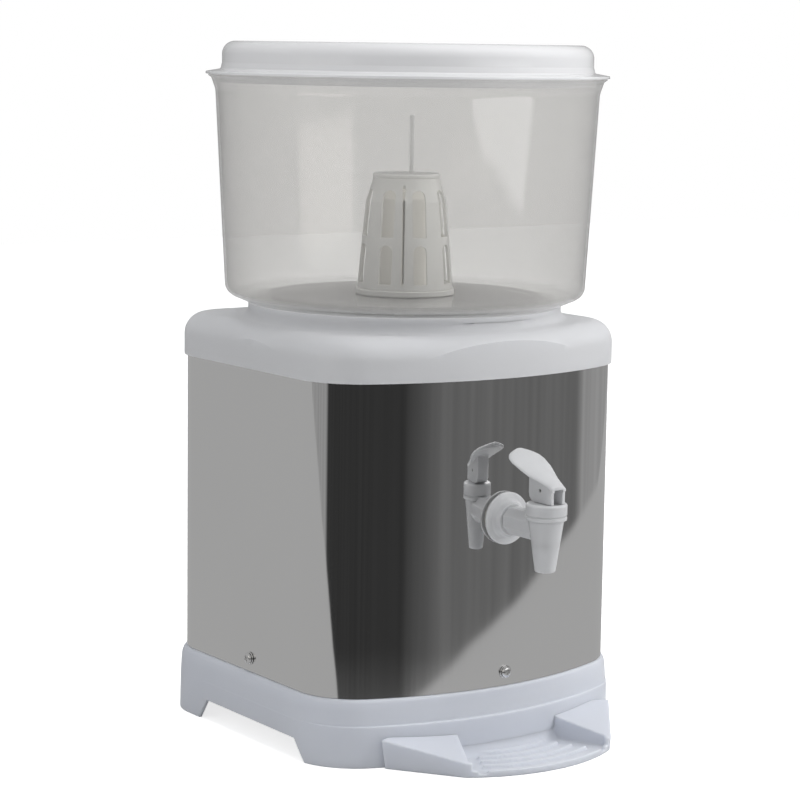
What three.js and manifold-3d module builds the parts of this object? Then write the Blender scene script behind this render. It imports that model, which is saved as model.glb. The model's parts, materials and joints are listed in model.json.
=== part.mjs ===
// Gravity water filter: a bowed steel cabinet on a moulded base with a drip tray, a white cover with
// a round collar, a frosted upper tub with its filter cartridge and lid, and a push lever tap.
// Millimetres, +Z up, front towards -Y. The origin is under the middle of the object's box.
import * as THREE from 'three';
import { mergeVertices } from 'three/addons/utils/BufferGeometryUtils.js';
import Module from 'manifold-3d';

const wasm = await Module();
wasm.setup();

// Steps on curves
const largeSteps = 32;
const midSteps = 20;
const smallSteps = 8;
const cornerSteps = 5;
const bowSteps = 8;
const filletSteps = 3;

// Clearances that all pieces share
const touchGap = 0.3;
const overrun = 2;

// Cabinet in plan, measured from the upright axis of the tub
const cabinetWidth = 260;
const cabinetBack = 118.6;
const sideFront = 91.6;
const frontBow = 34.1;
const frontCorner = 47;
const backCorner = 35;
const steelThickness = 0.8;

// Stack of the large pieces, from the floor up
const baseHeight = 48.1;
const jacketHeight = 235.6;
const coverOverlap = 15;
const coverHeight = 31.5;
const collarHeight = 10.5;
const tubHeight = 164.2;
const lidHeight = 23.6;
const jacketBottom = baseHeight + touchGap;
const jacketTop = jacketBottom + jacketHeight;
const coverBottom = jacketTop - coverOverlap;
const coverTop = coverBottom + coverHeight;
const collarTop = coverTop + collarHeight;
const tubSeat = collarTop + touchGap;
const tubRim = tubSeat + tubHeight;
const brimBottom = tubRim + touchGap;
const lidTop = brimBottom + lidHeight;

// Round interfaces between cover, tub and lid
const collarRadius = 115;
const collarBore = 101;
const rimRadius = 144.8;
const brimLap = 1.9;
const brimRadius = rimRadius + brimLap;

// Tap on the front panel
const tapHeight = 169.9;
const tapReach = 46.8;
const bonnetRadius = 14.4;
const shankHoleRadius = 8.7;

// The tap or the drip tray in front and the lid's brim behind set the middle of the object
const trayFront = 183;
const frontReach = Math.max(trayFront, sideFront + frontBow + tapReach + bonnetRadius);
const axisY = (frontReach - brimRadius) / 2;

const white = { color: 0xdfe4ea, roughness: 0.45, metalness: 0 };
const looks = {
  mouldedWhite: new THREE.MeshStandardMaterial(white),
  tapWhite: new THREE.MeshStandardMaterial({ color: 0xe6e8ea, roughness: 0.3, metalness: 0 }),
  steel: new THREE.MeshStandardMaterial({ color: 0x8d8c8a, roughness: 0.12, metalness: 1 }),
  frosted: new THREE.MeshStandardMaterial({ color: 0xc9c8c2, roughness: 0.35, metalness: 0 }),
  cage: new THREE.MeshStandardMaterial({ color: 0xc4bfb0, roughness: 0.4, metalness: 0 }),
  ceramic: new THREE.MeshStandardMaterial({ color: 0xbdb39c, roughness: 0.9, metalness: 0 }),
  rubber: new THREE.MeshStandardMaterial({ color: 0x3a3a3c, roughness: 0.8, metalness: 0 }),
  silicone: new THREE.MeshStandardMaterial({ color: 0xd9d6cf, roughness: 0.6, metalness: 0 }),
  screwSteel: new THREE.MeshStandardMaterial({ color: 0x9a9a9a, roughness: 0.3, metalness: 1 }),
};

const assembly = new THREE.Group();
assembly.position.y = axisY;
const group = new THREE.Group();
group.add(assembly);

// Closed geometry becomes a solid, its faces turned outwards and its pinched triangles dropped
function solid(geometry) {
  const bare = geometry.clone();
  bare.deleteAttribute('normal');
  bare.deleteAttribute('uv');
  const merged = mergeVertices(bare);
  const points = merged.attributes.position.array;
  const source = merged.index.array;
  const corner = (i) => new THREE.Vector3().fromArray(points, 3 * i);
  const faces = [];
  let volume = 0;
  for (let i = 0; i < source.length; i += 3) {
    const [a, b, c] = [source[i], source[i + 1], source[i + 2]];
    if (a === b || b === c || c === a) continue;
    faces.push([a, b, c]);
    volume += corner(a).dot(corner(b).cross(corner(c)));
  }
  const triangles = faces.flatMap(([a, b, c]) => (volume > 0 ? [a, b, c] : [a, c, b]));
  const mesh = new wasm.Mesh({
    numProp: 3,
    vertProperties: new Float32Array(points),
    triVerts: new Uint32Array(triangles),
  });
  return new wasm.Manifold(mesh);
}

// A solid becomes a named mesh in the given group
function place(name, body, material, parent = assembly) {
  const result = body.getMesh();
  const geometry = new THREE.BufferGeometry();
  geometry.setAttribute('position', new THREE.BufferAttribute(new Float32Array(result.vertProperties), 3));
  geometry.setIndex(new THREE.BufferAttribute(new Uint32Array(result.triVerts), 1));
  geometry.computeVertexNormals();
  const mesh = new THREE.Mesh(geometry, material);
  mesh.name = name;
  parent.add(mesh);
  return mesh;
}

// A closed profile of radius and height pairs, turned about the upright axis
function turned(profile, steps, shift = 0) {
  const points = profile.map(([radius, height]) => new THREE.Vector2(radius, height + shift));
  points.push(points[0].clone());
  return new THREE.LatheGeometry(points, steps).rotateX(Math.PI / 2);
}

// The same, turned about an axis that runs from front to back, heights growing towards the back
function turnedAlongY(profile, steps) {
  return turned(profile, steps).rotateX(-Math.PI / 2);
}

function ring(inner, outer, bottom, top, steps) {
  const profile = [[inner, bottom], [outer, bottom], [outer, top], [inner, top]];
  return solid(turned(profile, steps));
}

// A straight prism over an outline of plan points
function prism(outline, bottom, top) {
  const settings = { depth: top - bottom, bevelEnabled: false };
  return solid(new THREE.ExtrudeGeometry(new THREE.Shape(outline), settings).translate(0, 0, bottom));
}

function block(width, depth, height, x, y, z) {
  return solid(new THREE.BoxGeometry(width, depth, height).translate(x, y, z));
}

// Skin through rings of equal point counts, closed by flat ends that share the first outline's layout
function loft(rings, endOutlines) {
  const count = rings[0].length;
  const positions = rings.flat().flatMap((point) => point.toArray());
  const index = [];
  for (let level = 0; level < rings.length - 1; level += 1) {
    for (let i = 0; i < count; i += 1) {
      const next = (i + 1) % count;
      const [a, b] = [level * count + i, level * count + next];
      index.push(a, b, b + count, a, b + count, a + count);
    }
  }
  const last = (rings.length - 1) * count;
  const ends = endOutlines ?? [rings[0], rings[rings.length - 1]].map(flat);
  for (const [a, b, c] of THREE.ShapeUtils.triangulateShape(ends[0], [])) index.push(a, c, b);
  for (const [a, b, c] of THREE.ShapeUtils.triangulateShape(ends[1], [])) {
    index.push(last + a, last + b, last + c);
  }
  const geometry = new THREE.BufferGeometry();
  geometry.setAttribute('position', new THREE.Float32BufferAttribute(positions, 3));
  geometry.setIndex(index);
  return geometry;
}

function flat(points) {
  return points.map((point) => new THREE.Vector2(point.x, point.y));
}

function lifted(outline, height) {
  return outline.map((point) => new THREE.Vector3(point.x, point.y, height));
}

// Points on an arc between two angles, both ends included
function arc(centreX, centreY, radius, from, to, steps) {
  const points = [];
  for (let i = 0; i <= steps; i += 1) {
    const angle = from + ((to - from) * i) / steps;
    points.push([centreX + radius * Math.cos(angle), centreY + radius * Math.sin(angle)]);
  }
  return points;
}

function points2(pairs) {
  return pairs.map(([x, y]) => new THREE.Vector2(x, y));
}

// Cabinet outline in plan, offset outwards; extraBow moves only the middle of the front
const halfWidth = cabinetWidth / 2;
const bowRadius = (halfWidth ** 2 + frontBow ** 2) / (2 * frontBow);
const bowCentre = bowRadius - frontBow - sideFront;
const frontApex = -(sideFront + frontBow);
const quarter = Math.PI / 2;
const degree = Math.PI / 180;

function cabinetOutline(offset, extraBow = 0) {
  const bow = frontBow + extraBow;
  const radius = (halfWidth ** 2 + bow ** 2) / (2 * bow);
  const centre = radius - bow - sideFront;
  const cornerX = halfWidth - frontCorner;
  const cornerY = centre - Math.sqrt((radius - frontCorner) ** 2 - cornerX ** 2);
  const lean = Math.atan2(cornerX, centre - cornerY);
  const backX = halfWidth - backCorner;
  const backY = cabinetBack - backCorner;
  const back = backCorner + offset;
  const front = frontCorner + offset;
  return points2([
    ...arc(backX, backY, back, 0, quarter, cornerSteps),
    ...arc(-backX, backY, back, quarter, 2 * quarter, cornerSteps),
    ...arc(-cornerX, cornerY, front, 2 * quarter, 3 * quarter - lean, cornerSteps).slice(0, -1),
    ...arc(0, centre, radius + offset, 3 * quarter - lean, 3 * quarter + lean, bowSteps),
    ...arc(cornerX, cornerY, front, 3 * quarter + lean, 4 * quarter, cornerSteps).slice(1),
  ]);
}

// Levels are offset, height and extra bow
function cabinetLoft(levels) {
  return solid(loft(levels.map(([offset, height, bow]) => lifted(cabinetOutline(offset, bow), height))));
}

// Screws that hold the jacket to the base
const screwHeight = 58.3;
const sideScrewY = 2.9;
const frontScrewX = 3;
const screwHoleRadius = 2.1;
const screwReach = 9;
const screwSpots = {
  front: { x: frontScrewX, y: frontApex, turn: 0 },
  left: { x: -halfWidth, y: sideScrewY, turn: -quarter },
  right: { x: halfWidth, y: sideScrewY, turn: quarter },
  back: { x: 0, y: cabinetBack, turn: 2 * quarter },
};

function screwHole({ x, y, turn }) {
  const radius = screwHoleRadius;
  const profile = [[0, -screwReach], [radius, -screwReach], [radius, screwReach], [0, screwReach]];
  return solid(turnedAlongY(profile, smallSteps).rotateZ(turn).translate(x, y, screwHeight));
}

// Moulded base: skirt with arches, stepped front, deck and the upstand behind the jacket
const skirtFlare = 5.2;
const skirtStep = 4.6;
const skirtWaist = 3.9;
const stepHeight = 29.5;
const frontRecess = 2.3;
const waistHeight = 41;
const shoulderStart = 45.4;
const shoulderInset = 2.7;
const lipStart = 47.3;
const lipInset = 1.5;
const lipEdge = 0.6;
const skirtWall = 3;
const deckThickness = 3;
const upstandGap = 0.6;
const upstandWall = 2.4;
const upstandHeight = 17;
const archHeight = 15.6;
const archSlope = 11;
const sideArchFront = 75;
const sideArchBack = 67;
const backArchWidth = 150;
const ribThickness = 2.4;
const ribDepth = 7;
const ribSpacing = 84;
const deckTop = baseHeight - lipInset;
const deckBottom = deckTop - deckThickness;
const upstandOuter = -(steelThickness + upstandGap);
const upstandTop = deckTop + upstandHeight;

// Drip tray, moulded on the front of the base
const trayShift = 5;
const trayShoulderHalf = 64;
const trayShoulderBack = 18;
const trayRootHalf = 99;
const trayRootReach = 117;
const trayRise = 21.5;
const trayFall = 10.3;
const trayFallLength = 46;
const trayDraft = 2.2;
const trayWall = 3;
const bowlRootHalf = 30;
const bowlFrontHalf = 61;
const bowlLip = 3;
const bowlFloor = 2.6;
const lipHeight = 5;
const coveRadius = 8;
const ridgeCount = 4;
const ridgeFirst = 12.4;
const ridgePitch = 10.8;
const ridgeWidth = 3.2;
const ridgeHeight = 2.4;
const ridgeEndGap = 9;
const drainWidth = 7;
const drainHeight = 2.4;
const drainSpot = 53;

function trayArc(inset, half, steps) {
  const radius = (trayShoulderHalf ** 2 + trayShoulderBack ** 2) / (2 * trayShoulderBack);
  const lean = Math.asin(half / (radius - inset));
  return arc(0, radius - trayFront, radius - inset, 3 * quarter - lean, 3 * quarter + lean, steps);
}

// Everything below the top of the tray, which falls towards the front
function belowTrayTop(drop) {
  const slope = Math.atan(trayFall / trayFallLength);
  const span = 2 * cabinetWidth;
  const lump = new THREE.BoxGeometry(span, span, span).translate(0, 0, -span / 2);
  return solid(lump.rotateX(slope).translate(0, -trayRootReach, trayRise - drop));
}

function trayWings() {
  const foot = [
    ...trayArc(0, trayShoulderHalf, bowSteps),
    [trayRootHalf, -trayRootReach],
    [trayRootHalf - frontCorner, frontCorner - trayRootReach],
    [frontCorner - trayRootHalf, frontCorner - trayRootReach],
    [-trayRootHalf, -trayRootReach],
  ];
  const spread = 1 + trayDraft / trayShoulderHalf;
  const head = foot.map(([x, y]) => [x * spread, y]);
  const body = solid(loft([lifted(points2(foot), 0), lifted(points2(head), trayRise)]));
  const pocket = [
    [trayRootHalf - 3 * trayWall, -trayRootReach],
    [trayShoulderHalf + trayWall / 2, trayShoulderBack - trayFront + trayWall],
    [bowlFrontHalf + trayWall, trayShoulderBack - trayFront + trayWall],
    [bowlRootHalf + trayWall, -trayRootReach],
  ];
  const right = prism(points2(pocket), -overrun, trayRise).intersect(belowTrayTop(trayWall));
  const left = right.mirror([1, 0, 0]);
  return body.intersect(belowTrayTop(0)).subtract(right).subtract(left);
}

function bowlPlan(inset) {
  return points2([
    ...trayArc(inset, bowlFrontHalf, bowSteps),
    [bowlRootHalf, -trayRootReach],
    [-bowlRootHalf, -trayRootReach],
  ]);
}

// Concave foot of the front wall, where it runs into the bowl's floor
function cove() {
  const wall = bowRadius + skirtFlare;
  const foot = bowlFloor - lipEdge;
  const profile = [
    [wall - skirtWall, foot],
    [wall + coveRadius, foot],
    ...arc(wall + coveRadius, bowlFloor + coveRadius, coveRadius, -quarter, -2 * quarter, filletSteps),
    [wall - skirtWall, bowlFloor + coveRadius],
  ];
  const swing = Math.asin(bowlFrontHalf / bowRadius);
  const swung = (x, y, reach) => [x * reach, bowCentre + (y - bowCentre) * reach];
  const rings = arc(0, bowCentre, 1, 3 * quarter - swing, 3 * quarter + swing, bowSteps).map(([x, y]) => (
    profile.map(([reach, height]) => new THREE.Vector3(...swung(x, y, reach), height))
  ));
  return solid(loft(rings, [points2(profile), points2(profile)]));
}

function ridge(number) {
  const inset = ridgeFirst + ridgePitch * number;
  const sides = (bowlFrontHalf - bowlRootHalf) * (inset / (trayFront - trayRootReach));
  const half = bowlFrontHalf - sides - ridgeEndGap;
  const outer = trayArc(inset, half, bowSteps);
  const inner = trayArc(inset + ridgeWidth, half - ridgeWidth / 2, bowSteps).reverse();
  return prism(points2([...outer, ...inner]), bowlFloor - lipEdge, bowlFloor + ridgeHeight);
}

function trayDrain(side) {
  const [[x, y]] = trayArc(bowlLip / 2, drainSpot, 1);
  const slot = new THREE.BoxGeometry(drainWidth, 2 * bowlLip, drainHeight);
  return solid(slot.rotateZ(-Math.atan2(x, y)).translate(-x * side, y, bowlFloor + drainHeight / 2));
}

// A cut with slanted ends that runs along Y, from one x to another
function archCut(from, to) {
  const outline = [
    [from, -overrun],
    [to, -overrun],
    [to, 0],
    [to - archSlope, archHeight],
    [from + archSlope, archHeight],
    [from, 0],
  ];
  const settings = { depth: 2 * cabinetWidth, bevelEnabled: false };
  const cut = new THREE.ExtrudeGeometry(new THREE.Shape(points2(outline)), settings);
  return cut.rotateX(quarter);
}

function makeTray() {
  let tray = trayWings().subtract(prism(bowlPlan(bowlLip), bowlFloor, baseHeight));
  tray = tray.subtract(prism(bowlPlan(-overrun), lipHeight, baseHeight));
  tray = tray.subtract(trayDrain(1)).subtract(trayDrain(-1));
  for (let number = 0; number < ridgeCount; number += 1) tray = tray.add(ridge(number));
  return tray.translate([trayShift, 0, 0]);
}

function makeBase() {
  const lower = cabinetLoft([[skirtFlare, 0], [skirtStep, stepHeight]]);
  const upper = cabinetLoft([
    [skirtStep, stepHeight - lipInset, -frontRecess],
    [skirtWaist, waistHeight, -frontRecess],
    [shoulderInset, shoulderStart, -frontRecess / 3],
    [lipInset, lipStart],
    [lipEdge, baseHeight],
  ]);
  const within = prism(bowlPlan(bowlLip), 0, baseHeight).translate([trayShift, 0, 0]);
  let base = makeTray().add(cove().intersect(within)).add(lower).add(upper);
  base = base.subtract(cabinetLoft([
    [skirtFlare - skirtWall, -overrun],
    [skirtWaist - skirtWall - frontRecess, deckBottom],
  ]));
  base = base.add(prism(cabinetOutline(upstandOuter), deckBottom, upstandTop));
  base = base.subtract(prism(cabinetOutline(upstandOuter - upstandWall), deckTop, upstandTop + overrun));
  const span = 2 * cabinetWidth;
  const inside = prism(cabinetOutline(0), deckBottom - ribDepth, deckTop - deckThickness / 2);
  for (const side of [-ribSpacing / 2, ribSpacing / 2]) {
    base = base.add(inside.intersect(block(ribThickness, span, span, side, 0, 0)));
    base = base.add(inside.intersect(block(span, ribThickness, span, 0, side, 0)));
  }
  const sideArch = archCut(-sideArchBack, sideArchFront).rotateZ(-quarter).translate(cabinetWidth, 0, 0);
  const backArch = archCut(-backArchWidth / 2, backArchWidth / 2).translate(0, span, 0);
  base = base.subtract(solid(sideArch)).subtract(solid(backArch));
  for (const spot of Object.values(screwSpots)) base = base.subtract(screwHole(spot));
  return base;
}

// Steel jacket: one sheet wrapped round the cabinet, lapped and riveted at the back
const seamSpot = 10;
const seamSlit = 0.6;
const lapLeft = 22;
const lapRight = 10;
const lapJoggle = 4;
const lapEndGap = 3;
const rivetCount = 4;
const rivetInset = 11;
const rivetRadius = 1.6;
const rivetHeadRadius = 3.1;
const rivetHeadHeight = 1.1;
const rivetFirst = 82;
const rivetPitch = 58;
const jacketInner = cabinetBack - steelThickness;
const lapOuter = jacketInner - touchGap;
const lapInner = lapOuter - steelThickness;
const rivetX = seamSpot - rivetInset;

function tapHole(radius) {
  const front = frontApex - rimRadius;
  const profile = [[0, front], [radius, front], [radius, 0], [0, 0]];
  return solid(turnedAlongY(profile, midSteps).translate(0, 0, tapHeight));
}

function rivetHole(number) {
  const radius = rivetRadius + touchGap;
  const profile = [[0, 0], [radius, 0], [radius, cabinetBack + overrun], [0, cabinetBack + overrun]];
  return solid(turnedAlongY(profile, smallSteps).translate(rivetX, 0, rivetFirst + rivetPitch * number));
}

function makeJacket() {
  let jacket = prism(cabinetOutline(0), jacketBottom, jacketTop);
  jacket = jacket.subtract(prism(cabinetOutline(-steelThickness), 0, jacketTop + overrun));
  jacket = jacket.subtract(block(seamSlit, 2 * overrun, 2 * jacketTop, seamSpot, cabinetBack, jacketTop));
  const bottom = upstandTop + lapEndGap;
  const height = jacketTop - lapEndGap - bottom;
  const middle = bottom + height / 2;
  const lapX = seamSpot + (lapRight - lapLeft) / 2;
  const lapY = (lapOuter + lapInner) / 2;
  jacket = jacket.add(block(lapLeft + lapRight, steelThickness, height, lapX, lapY, middle));
  const joggleWidth = lapRight - lapJoggle;
  const joggleDepth = (jacketInner + steelThickness / 2) - lapInner;
  const joggleX = seamSpot + lapJoggle + joggleWidth / 2;
  jacket = jacket.add(block(joggleWidth, joggleDepth, height, joggleX, lapInner + joggleDepth / 2, middle));
  for (let number = 0; number < rivetCount; number += 1) jacket = jacket.subtract(rivetHole(number));
  for (const spot of Object.values(screwSpots)) jacket = jacket.subtract(screwHole(spot));
  return jacket.subtract(tapHole(shankHoleRadius));
}

// Pop rivets with a domed head outside and a flattened tail inside
function makeRivet(number) {
  const face = cabinetBack + touchGap;
  const tail = lapInner - touchGap;
  const profile = [
    [0, tail - rivetHeadHeight],
    [rivetHeadRadius * 0.7, tail - rivetHeadHeight],
    [rivetHeadRadius * 0.7, tail],
    [rivetRadius, tail],
    [rivetRadius, face],
    [rivetHeadRadius, face],
    [rivetHeadRadius * 0.6, face + rivetHeadHeight],
    [0, face + rivetHeadHeight],
  ];
  return solid(turnedAlongY(profile, smallSteps).translate(rivetX, 0, rivetFirst + rivetPitch * number));
}

// Pan-head screws and washers round the foot of the jacket
const screwHeadRadius = 3.9;
const screwHeadHeight = 2.3;
const screwRadius = 1.6;
const screwLength = 8;
const screwSlotWidth = 1;
const screwSlotDepth = 1.1;
const washerRadius = 4.7;
const washerThickness = 0.7;

function makeWasher({ x, y, turn }) {
  const inner = screwRadius + touchGap;
  const near = -touchGap;
  const far = near - washerThickness;
  const profile = [[inner, near], [inner, far], [washerRadius, far], [washerRadius, near]];
  return solid(turnedAlongY(profile, smallSteps).rotateZ(turn).translate(x, y, screwHeight));
}

function makeScrew({ x, y, turn }) {
  const seat = -(2 * touchGap + washerThickness);
  const crown = seat - screwHeadHeight;
  const profile = [
    [0, crown],
    [screwHeadRadius * 0.45, crown],
    [screwHeadRadius * 0.85, seat - screwHeadHeight * 0.7],
    [screwHeadRadius, seat - screwHeadHeight * 0.3],
    [screwHeadRadius, seat],
    [screwRadius, seat],
    [screwRadius, seat + screwLength],
    [0, seat + screwLength],
  ];
  let screw = solid(turnedAlongY(profile, smallSteps));
  const slotLength = screwHeadRadius * 1.1;
  const slotDepth = 2 * screwSlotDepth;
  screw = screw.subtract(block(slotLength, slotDepth, screwSlotWidth, 0, crown, 0));
  screw = screw.subtract(block(screwSlotWidth, slotDepth, slotLength, 0, crown, 0));
  return screw.rotate([0, 0, turn / degree]).translate([x, y, screwHeight]);
}

// Reservoir that hangs from the jacket's top edge behind the tap
const flangeInset = 0.2;
const flangeThickness = 2.5;
const reservoirInset = 6;
const reservoirWall = 2.2;
const reservoirDrop = 25.9;
const reservoirFloor = 2.5;
const reservoirEase = 4;
const reservoirEaseHeight = 8;
const bossRadius = 16;
const bossProud = 0.7;
const reservoirBottom = tapHeight - reservoirDrop;
const flangeBottom = jacketTop + touchGap;
const flangeTop = flangeBottom + flangeThickness;
const bossFace = frontApex + reservoirInset + reservoirWall + bossProud;

function reservoirLevels(inset, floor, top) {
  return [
    [-inset - reservoirEase, floor],
    [-inset - reservoirEase / 4, floor + reservoirEaseHeight / 3],
    [-inset, floor + reservoirEaseHeight],
    [-inset, top],
  ];
}

function makeReservoir() {
  let reservoir = cabinetLoft(reservoirLevels(reservoirInset, reservoirBottom, flangeTop));
  reservoir = reservoir.add(prism(cabinetOutline(-flangeInset), flangeBottom, flangeTop));
  const front = frontApex - overrun;
  const profile = [[0, front], [bossRadius, front], [bossRadius, bossFace], [0, bossFace]];
  const boss = solid(turnedAlongY(profile, midSteps).translate(0, 0, tapHeight));
  const within = prism(cabinetOutline(-steelThickness - touchGap), reservoirBottom, flangeTop);
  const inset = reservoirInset + reservoirWall;
  const floor = reservoirBottom + reservoirFloor;
  reservoir = reservoir.subtract(cabinetLoft(reservoirLevels(inset, floor, flangeTop + overrun)));
  return reservoir.add(boss.intersect(within)).subtract(tapHole(shankHoleRadius));
}

// Top cover with a round collar that carries the tub
const coverOffset = 2.4;
const coverGap = 0.4;
const coverFillet = 16;
const coverWall = 3;
const flareRadius = 7;
const flareFall = 6.5;
const flareFoot = 10;
const collarGrooveGap = 4.5;
const collarPost = 104.5;
const shoulderWidth = 2.6;
const plateEdge = 11;
const filletStart = coverTop - coverFillet;

// The flare under the collar stays inside this skin, where it runs out over the cover's sides
const flareSkin = [
  [coverOffset, filletStart],
  [coverOffset / 2, filletStart + coverFillet * 0.35],
  [-coverOffset / 2, filletStart + coverFillet * 0.6],
  [-coverFillet / 4, coverTop - coverFillet * 0.2],
  [-flareRadius, coverTop],
  [-flareRadius - coverOffset, coverTop + collarHeight / 2],
  [-coverFillet * 0.65, collarTop],
];

function makeCover() {
  const levels = arc(coverOffset - coverFillet, filletStart, coverFillet, 0, quarter, cornerSteps);
  let cover = cabinetLoft([[coverOffset, coverBottom], ...levels]);
  const flareX = collarRadius + flareRadius;
  const collar = [
    [0, filletStart],
    [flareX + flareFoot, filletStart],
    [flareX + flareFoot, coverTop - flareFall],
    ...arc(flareX, coverTop + flareRadius, flareRadius, 3 * quarter, 2 * quarter, filletSteps),
    [collarRadius, collarTop],
    [0, collarTop],
  ];
  cover = cover.add(solid(turned(collar, largeSteps)).intersect(cabinetLoft(flareSkin)));
  const seat = flangeTop + touchGap;
  const room = cabinetLoft([[coverGap, coverBottom - overrun], [coverGap, seat]]);
  const crown = cabinetLoft([
    [coverGap - shoulderWidth, seat - overrun],
    [coverGap - shoulderWidth, seat + coverWall],
    [-plateEdge, coverTop - coverWall],
  ]);
  const grooveRim = collarRadius - collarGrooveGap;
  const groove = ring(collarPost, grooveRim, coverBottom, collarTop - coverWall, largeSteps);
  const bore = ring(0, collarBore, coverBottom, collarTop + overrun, largeSteps);
  return cover.subtract(room).subtract(crown).subtract(groove).subtract(bore);
}

// Upper tub, turned, with a hub that drops into the collar
const tubWall = 1.8;
const hubRadius = 100;
const hubDrop = 8.3;
const hubWall = 2;
const hubFloor = 3.2;
const tubFloor = 2.5;
const tubCornerX = 123.2;
const tubCornerRise = 13.25;
const tubCornerRadius = 9;
const tubCornerFrom = -67 * degree;
const tubCornerTo = -3 * degree;
const rimFlareHeight = 10.9;
const rimFlare = 5.2;
const rimRoll = 2.3;
const tubNeck = rimRadius - rimFlare;
const rimMid = rimRadius - rimRoll;
const rimMidFall = 2.4;
const outletHole = 7.6;
const floorBottom = tubSeat + hubFloor;
const floorTop = floorBottom + tubFloor;

function makeTub() {
  const cornerZ = tubSeat + tubCornerRise;
  const corner = (radius) => arc(tubCornerX, cornerZ, radius, tubCornerFrom, tubCornerTo, filletSteps);
  const trough = tubSeat + tubFloor;
  const profile = [
    [outletHole, floorBottom],
    [hubRadius - hubWall, floorBottom],
    [hubRadius - hubWall, tubSeat - hubDrop],
    [hubRadius, tubSeat - hubDrop],
    [hubRadius, tubSeat],
    [collarRadius, tubSeat],
    ...corner(tubCornerRadius),
    [tubNeck, tubRim - rimFlareHeight],
    [(tubNeck + rimMid) / 2, tubRim - rimFlareHeight * 0.6],
    [rimMid, tubRim - rimMidFall],
    [rimRadius, tubRim - rimMidFall / 3],
    [rimRadius, tubRim],
    [rimMid, tubRim],
    [tubNeck - tubWall / 3, tubRim - rimFlareHeight * 0.5],
    [tubNeck - tubWall, tubRim - rimFlareHeight],
    ...corner(tubCornerRadius - tubWall).reverse(),
    [collarRadius + hubWall / 2, trough],
    [hubRadius + hubWall, trough],
    [hubRadius, floorTop],
    [outletHole, floorTop],
  ];
  return solid(turned(profile, largeSteps));
}

// Lid with a sloping brim and a skirt that centres it in the tub
const lidWall = 1.8;
const brimThickness = 1.8;
const brimRise = 3.7;
const brimWidth = 10.7;
const lidShoulder = brimRadius - brimWidth;
const lidDraft = 1.1;
const lidDraftHeight = 4.5;
const lidFillet = 9.4;
const lidSkirtGap = 1;
const lidSkirtDepth = 6;
const lidSkirtWall = 1.6;

function makeLid() {
  const brimTop = brimBottom + brimRise;
  const filletX = lidShoulder - lidDraft - lidFillet;
  const filletZ = lidTop - lidFillet;
  const skirt = tubNeck - tubWall - lidSkirtGap;
  const profile = [
    [0, lidTop],
    ...arc(filletX, filletZ, lidFillet, quarter, 0, filletSteps + 1),
    [lidShoulder - lidDraft, brimTop + lidDraftHeight],
    [lidShoulder, brimTop],
    [brimRadius, brimBottom + brimThickness],
    [brimRadius, brimBottom],
    [skirt, brimBottom],
    [skirt, brimBottom - lidSkirtDepth],
    [skirt - lidSkirtWall, brimBottom - lidSkirtDepth],
    [skirt - lidSkirtWall, brimBottom],
    [lidShoulder - lidWall, brimTop],
    [lidShoulder - lidDraft - lidWall, brimTop + lidDraftHeight],
    ...arc(filletX, filletZ, lidFillet - lidWall, 0, quarter, filletSteps + 1),
    [0, lidTop - lidWall],
  ];
  return solid(turned(profile, largeSteps));
}

// Filter cartridge: candle in a slotted cage of two tiers, on a screwed base
const cartridgeBaseRadius = 36.3;
const cartridgeBaseHeight = 4.2;
const sealThickness = 1.5;
const sealRadius = 18;
const sealRecess = 1.2;
const cageOuter = 35;
const cageWall = 2;
const cageGap = 0.4;
const spigotHeight = 3.5;
const outletRadius = 7;
const outletBore = 3;
const outletReach = 28;
const cageNeck = 24.5;
const cageNeckFall = 4.5;
const capTop = 405.4;
const capThickness = 3;
const capSpigot = 5.4;
const tierSpan = 28.8;
const tierGap = 5.2;
const tierBottom = 4.2;
const archTop = 5.6;
const windowWidth = 10.4;
const windowColumns = 8;
const cageSteps = 3 * windowColumns;
const seamWidth = 2.2;
const seamTurn = 3.2 * degree;
const viewTurn = 54.7 * degree;
const candleRadius = 21;
const candleDome = 6;
const candleNeck = 3;
const ventShift = 4.5;
const ventRadius = 1.8;
const ventBore = 1;
const ventHeight = 45;
const baseBottom = floorTop + touchGap;
const baseTop = baseBottom + cartridgeBaseHeight;
const cageBottom = baseTop + touchGap;
const cageTop = capTop - capThickness - touchGap;

function cageProfile(inset) {
  const rise = cageTop - cageBottom;
  const neckShare = 1 - cageNeckFall / rise;
  const shares = [[1, 0], [0.886, 0.19], [0.61, 0.59], [0.457, 0.79], [0.086, neckShare], [0, 1]];
  return shares.map(([radiusShare, heightShare]) => [
    cageNeck + (cageOuter - cageNeck) * radiusShare - inset,
    cageBottom + rise * heightShare,
  ]);
}

// A window with a round head, cut outwards through the cage wall
function cageWindow(turn, bottom, top) {
  const half = windowWidth / 2;
  const outline = [
    [-half, bottom],
    [half, bottom],
    ...arc(0, top - archTop, half, 0, 2 * quarter, cornerSteps),
  ];
  const depth = cageOuter + overrun;
  const settings = { depth, bevelEnabled: false };
  const cut = new THREE.ExtrudeGeometry(new THREE.Shape(points2(outline)), settings);
  return solid(cut.rotateX(quarter).rotateZ(turn));
}

function makeCage() {
  const outer = cageProfile(0);
  const inner = cageProfile(cageWall).reverse();
  let cage = solid(turned([...outer, ...inner], cageSteps));
  const pitch = (4 * quarter) / windowColumns;
  const first = viewTurn - seamTurn;
  const low = cageBottom + tierBottom;
  for (let column = 0; column < windowColumns; column += 1) {
    const turn = first + pitch * (column + 0.5);
    cage = cage.subtract(cageWindow(turn, low, low + tierSpan));
    cage = cage.subtract(cageWindow(turn, low + tierSpan + tierGap, low + 2 * tierSpan + tierGap + archTop));
  }
  const slotHeight = cageTop - cageNeckFall - low;
  const slot = new THREE.BoxGeometry(3 * cageOuter, seamWidth, slotHeight);
  return cage.subtract(solid(slot.rotateZ(first).translate(0, 0, low + slotHeight / 2)));
}

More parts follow.
